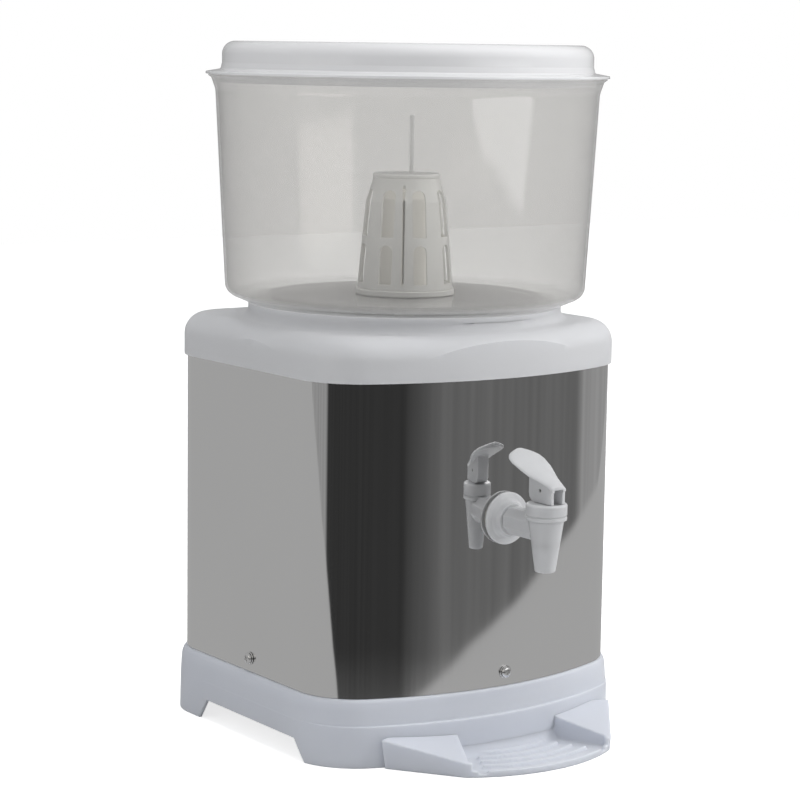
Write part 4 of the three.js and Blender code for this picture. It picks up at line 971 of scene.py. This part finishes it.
def lid_profile():
    wall = sizes().lid_wall / MM
    low, top = BRIM_BOTTOM, LID_TOP
    brim = low + 3.7
    x, z = 136.0 - 1.1 - 9.4, top - 9.4
    outline = [(0, top), (40, top, 0)] + [(*p, 0) for p in curve(x, z, 9.4, QUARTER, 0, 14)]
    outline += [(134.9, brim + 4.5, 3), (136, brim, 1.2), (146.7, low + 1.8, 0.7), (146.7, low, 0.5),
                (136.8, low, 0.6), (136.8, low - 6, 0.5), (135.2, low - 6, 0.5), (135.2, low, 0.6),
                (136 - wall, brim, 1), (134.9 - wall, brim + 4.5, 3)]
    outline += [(*p, 0) for p in curve(x, z, 9.4 - wall, 0, QUARTER, 14)] + [(40, top - wall, 0), (0, top - wall)]
    return soften(outline, 0.4)


BASE_BOTTOM, _ = span("cartridge_base", "z")
BASE_TOP = TUB_SEAT + 3.2 + 2.5 + 0.3 + 4.2
CAGE_BOTTOM = BASE_TOP + 0.3
CAP_TOP = span("cartridge_cap", "z")[1]
CAGE_TOP = CAP_TOP - 3.3
VENT_X = float(middle("vent_tube")[0])
SLIT_TURN = math.radians(51.5)


def make_cage():
    s = sizes()
    rise = CAGE_TOP - CAGE_BOTTOM
    shares = [(1, 0), (0.886, 0.19), (0.61, 0.59), (0.457, 0.79), (0.086, 1 - 4.5 / rise), (0, 1)]
    outer = [(24.5 + 10.5 * r, CAGE_BOTTOM + rise * h, 3) for r, h in shares]
    outer[0], outer[-1] = (*outer[0][:2], 0.3), (*outer[-1][:2], 0.3)
    inner = [(r - 2, z, w) for r, z, w in outer[::-1]]
    cage = made("cage", lathe(soften(outer + inner, 0.3, 3), 96))
    low = CAGE_BOTTOM + 4.2
    half = s.window_width / MM / 2
    arches = []
    for bottom, top in ((low, low + 28.8), (low + 34, low + 34 + 34.4)):
        outline = [(-half, bottom), (half, bottom)] + curve(0, top - 5.6, half, 0, 2 * QUARTER, 10)
        points, faces = prism(outline, 0, 40)
        x, up, out = points.T
        arches.append((np.column_stack([x, -out, up]), faces))
    cutter = made("windows", united(*arches))
    cutter.data.transform(Matrix.Translation((0, -AXIS_Y * MM, 0)))
    grown(cutter, ring_of_copies(), "cage_plastic", Count=s.window_columns, First=SLIT_TURN)
    cutter.data.transform(Matrix.Translation((0, AXIS_Y * MM, 0)))
    combine(cage, cutter, "DIFFERENCE")
    slit = turned(block((-52, -1.1, low), (52, 1.1, CAGE_TOP - 4.5)), SLIT_TURN)
    combine(cage, slit, "DIFFERENCE")
    shaded(cage.data, 35)
    return cage


def cartridge_profiles():
    seal_top = span("outlet_seal", "z")[0] - 0.3
    bottom, top = seal_top + 0.3, BASE_TOP
    foot = [(3, BASE_BOTTOM), (7, BASE_BOTTOM), (7, bottom + 1.2), (18.3, bottom + 1.2), (18.3, bottom),
            (36.3, bottom, 0.8), (36.3, top, 0.8), (32.6, top), (32.6, top + 3.5), (30.6, top + 3.5), (30.6, top),
            (3, top)]
    low = CAP_TOP - 3
    hole = 2.1
    cap = [(20.1, low), (20.1, low - 5.4), (22.1, low - 5.4), (22.1, low), (24.5, low, 0.4), (24.5, CAP_TOP, 1.2),
           (0, CAP_TOP), (0, low)]
    dome = CAGE_TOP - 5.4 - 3
    candle = [(0, top + 0.3), (21, top + 0.3, 1), (21, dome - 6, 3), (15.1, dome - 0.9, 4), (0, dome)]
    return soften(foot, 0.3), soften(cap, 0.3), soften(candle, 1.0), hole


def make_candle(profile):
    """The candle, with a groove down each side behind the cage's slit."""
    candle = made("candle", lathe(profile, 96))
    low, high = CAGE_BOTTOM + 4, CAGE_TOP - 16
    grooves = united(block((-30, -0.9, low), (-13, 0.9, high)), block((13, -0.9, low), (30, 0.9, high)))
    combine(candle, turned(grooves, SLIT_TURN), "DIFFERENCE")
    shaded(candle.data)
    return candle


def make_cap(profile, hole):
    cap = made("cap", lathe(profile, 96))
    bore = moved(lathe([(0, CAP_TOP - 12), (hole, CAP_TOP - 12), (hole, CAP_TOP + 5), (0, CAP_TOP + 5)], 32), VENT_X)
    combine(cap, bore, "DIFFERENCE")
    shaded(cap.data)
    return cap


def make_wing_nut():
    low, top = span("wing_nut", "z")
    hub = soften([(0, low), (12, low, 1), (12, top, 0.5), (0, top)], 0.5)
    wing = [(23.4 * c, 2.5 * s) for c, s in ((1, -1), (1, 1), (-1, 1), (-1, -1))]
    ends = lathe(soften([(0, low), (23.9, low, 2), (23.9, top, 1), (0, top)], 1), 96)
    blade = made("blade", prism(wing, low, top))
    combine(blade, ends, "INTERSECT")
    nut = made("wing_nut_fine", lathe(hub, 96))
    combine(nut, blade, "UNION")
    moulded(nut, 0.5, 3)
    combine(nut, lathe([(0, low - 2), (7.3, low - 2), (7.3, top + 2), (0, top + 2)], 64), "DIFFERENCE")
    shaded(nut.data, 50)
    return nut


# Tap

def make_tap_body():
    nozzle, shoulder = TAP_Z - 30.1, TAP_Z + 6.1
    shell = soften([(0, nozzle), (7.2, nozzle, 0.8), (12.4, shoulder, 0.7), (11.6, shoulder), (11.6, shoulder + 8),
                    (0, shoulder + 8)], 0.4)
    body = made("tap_shell", moved(lathe(shell, 96), y=TAP_Y))
    across = 9.5 / math.cos(QUARTER / 4)
    front = FRONT_APEX - 1.6 - 8 - 0.3
    angles = QUARTER / 4 + QUARTER / 2 * np.arange(8)
    ring = np.column_stack([across * np.cos(angles), np.zeros(8), TAP_Z + across * np.sin(angles)])
    neck = skin([ring + (0, y, 0) for y in (front, TAP_Y)], capped=True)
    shank = along_y(lathe([(0, TAP_Y), (8, TAP_Y), (8, -98), (0, -98)], 64))
    joined = bmesh.new()
    joined.from_mesh(body.data)
    for shape in (neck, moved(shank, z=TAP_Z)):
        extra = made("extra", shape)
        joined.from_mesh(extra.data)
        bpy.data.objects.remove(extra)
    joined.to_mesh(body.data)
    joined.free()
    moulded(body, 0.4, 3)
    seat = TAP_Z - 11.9
    room = lathe([(11.8, shoulder), (14.7, shoulder), (14.7, shoulder + 20), (11.8, shoulder + 20)], 64)
    combine(body, moved(room, y=TAP_Y), "DIFFERENCE")
    for shape in (lathe([(0, seat), (9, seat), (9, shoulder + 12), (0, shoulder + 12)], 64),
                  lathe([(0, nozzle - 2), (5.3, nozzle - 2), (5.3, seat + 2), (0, seat + 2)], 64)):
        combine(body, moved(shape, y=TAP_Y), "DIFFERENCE")
    bore = moved(along_y(lathe([(0, TAP_Y), (5, TAP_Y), (5, -96), (0, -96)], 48)), z=TAP_Z)
    combine(body, bore, "DIFFERENCE")
    shaded(body.data, 50)
    return body


def make_collar():
    back = FRONT_APEX - 1.6
    profile = [(8.3, back), (18.7, back, 0.7), (18.7, back - 1.8, 0.8), (14.65, back - 2.7, 1.5),
               (12.5, back - 4.4, 2), (11.5, back - 8, 0.6), (8.3, back - 8)]
    return made("trumpet", moved(along_y(lathe(soften(profile, 0.5), 96)), z=TAP_Z))


def make_bonnet():
    low, top = TAP_Z + 6.4, TAP_Z + 18.1
    profile = [(11.9, low), (14.4, low, 0.5), (14.4, low + 2.2, 0.3), (13.9, low + 2.6, 0.3),
               (13.9, low + 3.4, 0.3), (14.4, low + 3.8, 0.3), (14.4, top, 1.6), (3.4, top, 0.4),
               (3.4, top - 3), (11.9, top - 3)]
    return made("bonnet", moved(lathe(soften(profile, 0.4), 96), y=TAP_Y))


def make_seal(name, node_name, inner, outer, ease):
    """A ring round the shank, between the two ends of its node."""
    near, far = span(node_name, "y")
    return made(name, moved(along_y(lathe(band(inner, outer, near, far, ease), 96)), z=TAP_Z))


def make_tap_nut():
    near, far = span("tap_nut", "y")
    corners = [(14 * math.cos(a), 14 * math.sin(a)) for a in QUARTER / 3 + 2 * QUARTER / 3 * np.arange(6)]
    nut = made("shank_nut", moved(along_y(prism(corners, near, far)), z=TAP_Z))
    faces = [(0, near), (12.4, near), (14.1, near + 1.2), (14.1, far - 1.2), (12.4, far), (0, far)]
    combine(nut, moved(along_y(lathe(faces, 96)), z=TAP_Z), "INTERSECT")
    bore = [(0, near - 2), (8.3, near - 2), (8.3, far + 2), (0, far + 2)]
    combine(nut, moved(along_y(lathe(bore, 64)), z=TAP_Z), "DIFFERENCE")
    shaded(nut.data, 25)
    return nut


def make_plug():
    low, top = span("valve_plug", "z")
    profile = [(0, low), (6.7, low, 0.3), (7.5, low + 0.7, 0.3), (7.5, low + 3.4, 0.3), (7.1, low + 3.7, 0.3),
               (7.1, low + 5, 0.3), (7.5, low + 5.3, 0.3), (7.5, top, 0.4), (3.3, top), (3.3, low + 1.4),
               (0, low + 1.4)]
    return made("plug", moved(lathe(soften(profile, 0.2), 64), y=TAP_Y))


def make_stem():
    low, top = span("valve_stem", "z")
    stem = made("stem", moved(lathe(soften([(0, low), (3, low, 0.4), (3, top, 1.4), (0, top)], 0.4), 48), y=TAP_Y))
    combine(stem, cross_rod(1.5, 8), "DIFFERENCE")
    shaded(stem.data)
    return stem


def cross_rod(radius, half, ease=0.0):
    """A round bar along X on the pin's axis."""
    points, faces = lathe(soften([(0, -half), (radius, -half), (radius, half), (0, half)], ease, 3), 40)
    return moved((np.column_stack([points[:, 2], points[:, 1], -points[:, 0]]), faces), 0, TAP_Y, PIN_Z)


def make_coil():
    """The spring, its end coils ground into the room between the washer and the bonnet's roof."""
    s = sizes()
    low, top = span("tap_spring", "z")
    wire = s.spring_wire
    return grown(made("spring", block((-1, -1, 0), (1, 1, 1))), coil(), "fastener_steel", Radius=5.5 * MM, Wire=wire,
                 Turns=s.spring_turns, Tall=(top - low) * MM, Back=(AXIS_Y + TAP_Y) * MM,
                 Height=low * MM + wire / 2)


def make_lever():
    shares = np.array([
        [0, 0.43, 0], [0.1, 0.47, 0.11], [0.27, 0.61, 0.26], [0.43, 0.8, 0.4], [0.58, 0.93, 0.57],
        [0.76, 1, 0.75], [0.86, 0.95, 0.85], [0.94, 0.76, 0.93], [0.98, 0.52, 0.975], [1, 0.3, 1]])
    dense = np.linspace(0, 1, 40)
    width = np.interp(dense, shares[:, 0], shares[:, 1])
    rise = np.interp(dense, shares[:, 0], shares[:, 2])
    around = np.linspace(0, 4 * QUARTER, 25)[:-1]
    across, bend = np.cos(around), np.sin(around)
    rings = []
    for along, wide, high in zip(dense, width, rise):
        mid = 4.2 + high * 20.8 - 1.9 - 0.9 * across ** 2
        thick = 1.9 * np.sign(bend) * np.abs(bend) ** 0.6
        rings.append(np.column_stack([wide * 14.6 * across, np.full(24, along * 45.4 - 13.3), mid + thick]))
    paddle = moved(skin(rings, capped=True), 0, TAP_Y, PIN_Z)
    low = TAP_Z + 18.4 - PIN_Z
    core = 4.2 - 1.9
    cheeks = [(-12.5, low)] + curve(6.5, low + 6, 6, -QUARTER, 0, 8) + [
        (12.5, core + 20.8 * 0.54), (0, core + 20.8 * 0.26), (-12.5, core)]
    lever = made("push_paddle", united(paddle, sideways(cheeks, 6, TAP_Y, PIN_Z)))
    moulded(lever, 0.4, 4)
    room = [(-16, low - 2), (8.4, low - 2), (8.4, -4.6)] + curve(0, 0, 4.6, 0, math.radians(150), 10) + [(-16, 1.6)]
    combine(lever, sideways(room, 3.8, TAP_Y, PIN_Z), "DIFFERENCE")
    combine(lever, cross_rod(1.5, 12), "DIFFERENCE")
    shaded(lever.data, 50)
    return lever


# Stage

def look_at_photo():
    camera = bpy.data.cameras.new("Camera")
    camera.sensor_width = 36.0
    camera.lens = 2472.9 * 36.0 / 800
    camera.clip_end = 50
    obj = bpy.data.objects.new("Camera", camera)
    bpy.context.scene.collection.objects.link(obj)
    pitch, roll, turn = math.radians(8.172), math.radians(0.817), math.radians(35.20)
    ahead = Vector((math.sin(turn) * math.cos(pitch), math.cos(turn) * math.cos(pitch), -math.sin(pitch)))
    right = Vector((math.cos(turn), -math.sin(turn), 0))
    up = right.cross(ahead)
    level_right = right * math.cos(roll) + up * math.sin(roll)
    level_up = up * math.cos(roll) - right * math.sin(roll)
    pose = Matrix((level_right, level_up, -ahead)).transposed().to_4x4()
    pose.translation = Vector((-1.0474, -1.4807 + AXIS_Y * MM, 0.4981))
    obj.matrix_world = pose
    bpy.context.scene.camera = obj


def lamp(name, place, target, size, power):
    light = bpy.data.lights.new(name, "AREA")
    light.shape = "RECTANGLE"
    light.size, light.size_y = size
    light.energy = power
    obj = bpy.data.objects.new(name, light)
    bpy.context.scene.collection.objects.link(obj)
    obj.location = place
    obj.rotation_euler = (Vector(target) - Vector(place)).to_track_quat("-Z", "Y").to_euler()
    obj.visible_glossy = False
    return obj


def ramp(tree, value, stops, interpolation="LINEAR"):
    """A tone or colour that follows a value through its stops."""
    new = node(tree, "ShaderNodeValToRGB", {"Fac": value})
    new.color_ramp.interpolation = interpolation
    elements = new.color_ramp.elements
    for place, tone in stops[1:-1]:
        elements.new(place).color = (*np.broadcast_to(tone, 3), 1)
    for element, (place, tone) in zip((elements[0], elements[-1]), (stops[0], stops[-1])):
        element.position, element.color = place, (*np.broadcast_to(tone, 3), 1)
    return new.outputs["Color"]


def surroundings(tree):
    """What polished faces show of the room: upright screens all round over a pale table."""
    ray = node(tree, "ShaderNodeTexCoord").outputs["Generated"]
    parts = node(tree, "ShaderNodeSeparateXYZ", {0: ray})
    x, y, z = parts.outputs
    turn = sums(tree, "ARCTAN2", x, sums(tree, "MULTIPLY", y, -1.0))
    way = sums(tree, "MULTIPLY_ADD", turn, 1 / (4 * QUARTER), 0.5)
    drop = sums(tree, "MULTIPLY", sums(tree, "ARCSINE", z), -180 / math.pi)

    def at(degrees):
        return degrees / 360 + 0.5

    screens = ramp(tree, way, [
        (0.0, 0.45), (at(-90), 0.45), (at(-85), 0.05), (at(0), 0.05), (at(15), 0.2), (at(70), 0.2),
        (at(75), 0.45), (1.0, 0.45)])
    fold = node(tree, "ShaderNodeMapping", {"Vector": ray, "Scale": (18.0, 18.0, 0.8)})
    streaks = node(tree, "ShaderNodeTexNoise", {"Vector": fold.outputs[0], "Scale": 1.0, "Detail": 2.0})
    lift = node(tree, "ShaderNodeMapRange", {"Value": streaks.outputs["Fac"], "To Min": 0.7, "To Max": 1.3}).outputs[0]
    foot = node(tree, "ShaderNodeMapRange", {"Value": drop, "From Min": 14.0, "From Max": 16.0, "To Min": 1.0,
                                             "To Max": 3.0}).outputs[0]
    border = sums(tree, "MULTIPLY", ramp(tree, way, [(0.0, 0.0), (at(-40), 0.9), (1.0, 0.2)]), 20.0)
    above = sums(tree, "SUBTRACT", drop, border)
    table = node(tree, "ShaderNodeMapRange", {"Value": above, "From Min": -0.12, "From Max": 0.12}).outputs[0]
    upright = node(tree, "ShaderNodeMix", {0: 1.0, 6: screens, 7: sums(tree, "MULTIPLY", lift, foot)},
                   data_type="RGBA", blend_type="MULTIPLY")
    lower = node(tree, "ShaderNodeMix", {0: table, 6: upright.outputs[2], 7: (0.6, 0.6, 0.6, 1.0)},
                 data_type="RGBA")
    high = node(tree, "ShaderNodeMapRange", {"Value": drop, "From Min": 2.0, "From Max": -12.0}).outputs[0]
    room = node(tree, "ShaderNodeMix", {0: high, 6: lower.outputs[2], 7: (0.6, 0.6, 0.6, 1.0)}, data_type="RGBA")
    return room.outputs[2]


def make_world():
    world = bpy.data.worlds.new("Studio")
    bpy.context.scene.world = world
    world.use_nodes = True
    tree = world.node_tree
    tree.nodes.clear()
    path = node(tree, "ShaderNodeLightPath")
    seen = sums(tree, "MAXIMUM", path.outputs["Is Camera Ray"], path.outputs["Is Transmission Ray"])
    ambient = bpy.context.scene.filter_stage.ambient
    even = node(tree, "ShaderNodeBackground", {"Color": (0.97, 0.98, 1.0, 1), "Strength": ambient})
    mirrored = node(tree, "ShaderNodeBackground", {"Color": surroundings(tree), "Strength": 0.67})
    white = node(tree, "ShaderNodeBackground", {"Color": (1, 1, 1, 1), "Strength": 1.0})
    direct = sums(tree, "GREATER_THAN", sums(tree, "SUBTRACT", path.outputs["Is Glossy Ray"],
                                             path.outputs["Diffuse Depth"]), 0.5)
    lit = node(tree, "ShaderNodeMixShader", {0: direct, 1: even.outputs[0], 2: mirrored.outputs[0]})
    mix = node(tree, "ShaderNodeMixShader", {0: seen, 1: lit.outputs[0], 2: white.outputs[0]})
    node(tree, "ShaderNodeOutputWorld", {"Surface": mix.outputs[0]})


def make_floor():
    floor = made("floor", block((-4000, -4000, -20), (4000, 4000, 0)))
    look, tree = fresh_look("floor_white")
    place = node(tree, "ShaderNodeTexCoord").outputs["Object"]
    cloud = node(tree, "ShaderNodeTexNoise", {"Vector": place, "Scale": 3.0})
    tone = node(tree, "ShaderNodeMapRange", {"Value": cloud.outputs["Fac"], "To Min": 0.7, "To Max": 0.74})
    matt = node(tree, "ShaderNodeBsdfDiffuse", {"Color": tone.outputs[0]})
    seen = node(tree, "ShaderNodeLightPath").outputs["Is Camera Ray"]
    glow = node(tree, "ShaderNodeEmission", {"Color": (1, 1, 1, 1), "Strength": sums(tree, "MULTIPLY", seen, 0.75)})
    both = node(tree, "ShaderNodeAddShader", {0: matt.outputs[0], 1: glow.outputs[0]})
    node(tree, "ShaderNodeOutputMaterial", {"Surface": both.outputs[0]})
    floor.data.materials.append(look)
    floor.visible_glossy = False


def card(name, corners, colour, strength):
    """A glowing card that only glossy faces show."""
    panel = made(name, (np.array(corners, float), [list(range(len(corners)))]))
    look, tree = fresh_look(name)
    glow = node(tree, "ShaderNodeEmission", {"Color": (*colour, 1.0), "Strength": strength})
    node(tree, "ShaderNodeOutputMaterial", {"Surface": glow.outputs[0]})
    panel.data.materials.append(look)
    panel.visible_camera = panel.visible_diffuse = panel.visible_shadow = panel.visible_transmission = False


def make_stage():
    stage = bpy.context.scene.filter_stage
    look_at_photo()
    make_world()
    make_floor()
    warm, white = (1, 0.95, 0.88), (1, 1, 1)
    card("warm_card", [(-690, -320, 237), (-690, 85, 237), (-690, 85, 371), (-690, -320, 371)], warm, 1.3)
    card("warm_upper_card", [(-690, -320, 440), (-690, 85, 440), (-690, 85, 490), (-690, -320, 490)], warm, 1.5)
    card("slant_card", [(-7, -740, 500), (-7, -740, 380), (84, -725, 335), (159, -711, 325), (359, -675, 282),
                        (458, -657, 268), (555, -640, 500)], white, 2.1)
    lamp("key_light", (2.1, -1.4, 1.5), (0, 0, 0.25), (1.3, 1.3), stage.key)
    lamp("fill_light", (-2.2, -0.3, 1.3), (0, 0, 0.25), (1.3, 1.3), stage.fill)
    lamp("top_light", (0, -0.4, 4.0), (0, 0, 0.3), (2.5, 2.5), stage.top)
    bpy.context.scene.view_settings.view_transform = "Standard"


# Operators

class WATER_FILTER_OT_base(bpy.types.Operator):
    """Builds the base: skirt, drip tray and the ribs under the deck"""
    bl_idname = "water_filter.base"
    bl_label = "Base"

    def execute(self, context):
        for piece in (make_skirt(), make_tray(), make_ribs()):
            dressed(piece, "moulded_base", "base")
        return {"FINISHED"}


class WATER_FILTER_OT_jacket(bpy.types.Operator):
    """Builds the steel jacket with its seam at the back"""
    bl_idname = "water_filter.jacket"
    bl_label = "Steel jacket"

    def execute(self, context):
        dressed(make_jacket(), "stainless_sheet", "steel_jacket")
        return {"FINISHED"}


class WATER_FILTER_OT_fasteners(bpy.types.Operator):
    """Sets the rivets along the seam, and the screws and washers round the foot"""
    bl_idname = "water_filter.fasteners"
    bl_label = "Rivets and screws"

    def execute(self, context):
        sides = ("front", "left", "right", "back")
        dressed(make_rivets(), "fastener_steel", *(f"jacket_rivet_{n}" for n in range(1, 5)))
        dressed(make_screws(), "fastener_steel", *("jacket_screw_" + side for side in sides))
        dressed(make_washers(), "fastener_steel", *("screw_washer_" + side for side in sides))
        return {"FINISHED"}


class WATER_FILTER_OT_reservoir(bpy.types.Operator):
    """Builds the reservoir inside the jacket"""
    bl_idname = "water_filter.reservoir"
    bl_label = "Reservoir"

    def execute(self, context):
        dressed(make_reservoir(), "tank_plastic", "reservoir")
        return {"FINISHED"}


class WATER_FILTER_OT_cover(bpy.types.Operator):
    """Builds the top cover with its collar"""
    bl_idname = "water_filter.cover"
    bl_label = "Top cover"

    def execute(self, context):
        dressed(make_cover(), "moulded_white", "top_cover")
        return {"FINISHED"}


class WATER_FILTER_OT_tub(bpy.types.Operator):
    """Builds the upper tub and its lid"""
    bl_idname = "water_filter.tub"
    bl_label = "Tub and lid"

    def execute(self, context):
        dressed(made("upper_bowl", lathe(tub_profile(), 160)), "tub_frosted", "tub")
        dressed(made("lid_fine", lathe(lid_profile(), 160)), "lid_frosted", "lid")
        return {"FINISHED"}


class WATER_FILTER_OT_cartridge(bpy.types.Operator):
    """Builds the filter cartridge: foot, cage, cap, candle and vent tube"""
    bl_idname = "water_filter.cartridge"
    bl_label = "Cartridge"

    def execute(self, context):
        foot, cap, candle, hole = cartridge_profiles()
        low, top = span("vent_tube", "z")
        vent = moved(lathe(band(1, 1.8, low, top, 0.25), 32), VENT_X)
        dressed(make_cage(), "cage_plastic", "cartridge_cage")
        dressed(made("foot", lathe(foot, 96)), "cage_plastic", "cartridge_base")
        dressed(make_cap(cap, hole), "cage_plastic", "cartridge_cap")
        dressed(make_candle(candle), "candle_ceramic", "filter_candle")
        dressed(made("vent", vent), "vent_plastic", "vent_tube")
        return {"FINISHED"}


class WATER_FILTER_OT_outlet(bpy.types.Operator):
    """Builds the seals and the wing nut on the cartridge's outlet"""
    bl_idname = "water_filter.outlet"
    bl_label = "Outlet fittings"

    def execute(self, context):
        for name, node_name, outer in (("floor_seal", "outlet_seal", 18), ("under_washer", "outlet_washer", 16)):
            profile = band(7.3, outer, *span(node_name, "z"), 0.3)
            dressed(made(name, lathe(profile, 96)), "silicone", node_name)
        dressed(make_wing_nut(), "cage_plastic", "wing_nut")
        return {"FINISHED"}


class WATER_FILTER_OT_tap(bpy.types.Operator):
    """Builds the tap's body with its collar, bonnet, gaskets and nut"""
    bl_idname = "water_filter.tap"
    bl_label = "Tap body"

    def execute(self, context):
        dressed(make_tap_body(), "tap_white", "tap_body")
        dressed(make_collar(), "tap_white", "tap_collar")
        dressed(make_bonnet(), "tap_white", "tap_bonnet")
        dressed(make_tap_nut(), "tap_white", "tap_nut")
        dressed(make_seal("front_gasket", "outer_gasket", 8.3, 16.4, 0.25), "silicone", "outer_gasket")
        dressed(make_seal("rear_gasket", "inner_gasket", 8.3, 15.7, 0.4), "silicone", "inner_gasket")
        return {"FINISHED"}


class WATER_FILTER_OT_valve(bpy.types.Operator):
    """Builds the valve: plug, stem, washer, spring and the lever's pin"""
    bl_idname = "water_filter.valve"
    bl_label = "Valve and spring"

    def execute(self, context):
        washer = band(3.4, 8, *span("spring_washer", "z"), 0.15)
        pin_half = span("lever_pin", "x")[1]
        dressed(make_plug(), "rubber", "valve_plug")
        dressed(make_stem(), "tap_white", "valve_stem")
        dressed(made("carrier", moved(lathe(washer, 64), y=TAP_Y)), "fastener_steel", "spring_washer")
        dressed(made("pin", cross_rod(1.2, pin_half, 0.3)), "fastener_steel", "lever_pin")
        spring = dressed(make_coil(), "fastener_steel", "tap_spring")
        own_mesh(spring)
        return {"FINISHED"}


class WATER_FILTER_OT_lever(bpy.types.Operator):
    """Builds the push lever with its paddle and fork"""
    bl_idname = "water_filter.lever"
    bl_label = "Push lever"

    def execute(self, context):
        dressed(make_lever(), "tap_white", "lever")
        return {"FINISHED"}


class WATER_FILTER_OT_stage(bpy.types.Operator):
    """Sets the camera, the lights, the surroundings and the floor"""
    bl_idname = "water_filter.stage"
    bl_label = "Stage"

    def execute(self, context):
        make_stage()
        return {"FINISHED"}


OPERATORS = (
    WATER_FILTER_OT_stage, WATER_FILTER_OT_base, WATER_FILTER_OT_jacket, WATER_FILTER_OT_fasteners,
    WATER_FILTER_OT_reservoir, WATER_FILTER_OT_cover, WATER_FILTER_OT_tub, WATER_FILTER_OT_cartridge,
    WATER_FILTER_OT_outlet, WATER_FILTER_OT_tap, WATER_FILTER_OT_valve, WATER_FILTER_OT_lever)
GROUPS = {"filter_sizes": FilterSizes, "filter_colours": FilterColours, "filter_stage": FilterStage}


class WATER_FILTER_PT_panel(bpy.types.Panel):
    """Sizes, colours and the pieces of the filter"""
    bl_label = "Water Filter"
    bl_idname = "WATER_FILTER_PT_panel"
    bl_space_type = "VIEW_3D"
    bl_region_type = "UI"
    bl_category = "Water Filter"

    def draw(self, context):
        for group, properties in GROUPS.items():
            box = self.layout.box()
            for key in properties.__annotations__:
                box.prop(getattr(context.scene, group), key)
        for operator in OPERATORS:
            self.layout.operator(operator.bl_idname)


CLASSES = (*GROUPS.values(), *OPERATORS, WATER_FILTER_PT_panel)


def register():
    for one in CLASSES:
        bpy.utils.register_class(one)
    for key, group in GROUPS.items():
        setattr(bpy.types.Scene, key, PointerProperty(type=group))


def unregister():
    for key in GROUPS:
        delattr(bpy.types.Scene, key)
    for one in reversed(CLASSES):
        bpy.utils.unregister_class(one)


def main():
    register()
    for operator in OPERATORS:
        group, name = operator.bl_idname.split(".")
        if getattr(getattr(bpy.ops, group), name)() != {"FINISHED"}:
            raise RuntimeError(f"{operator.bl_label} was not finished")


if __name__ == "__main__":
    main()
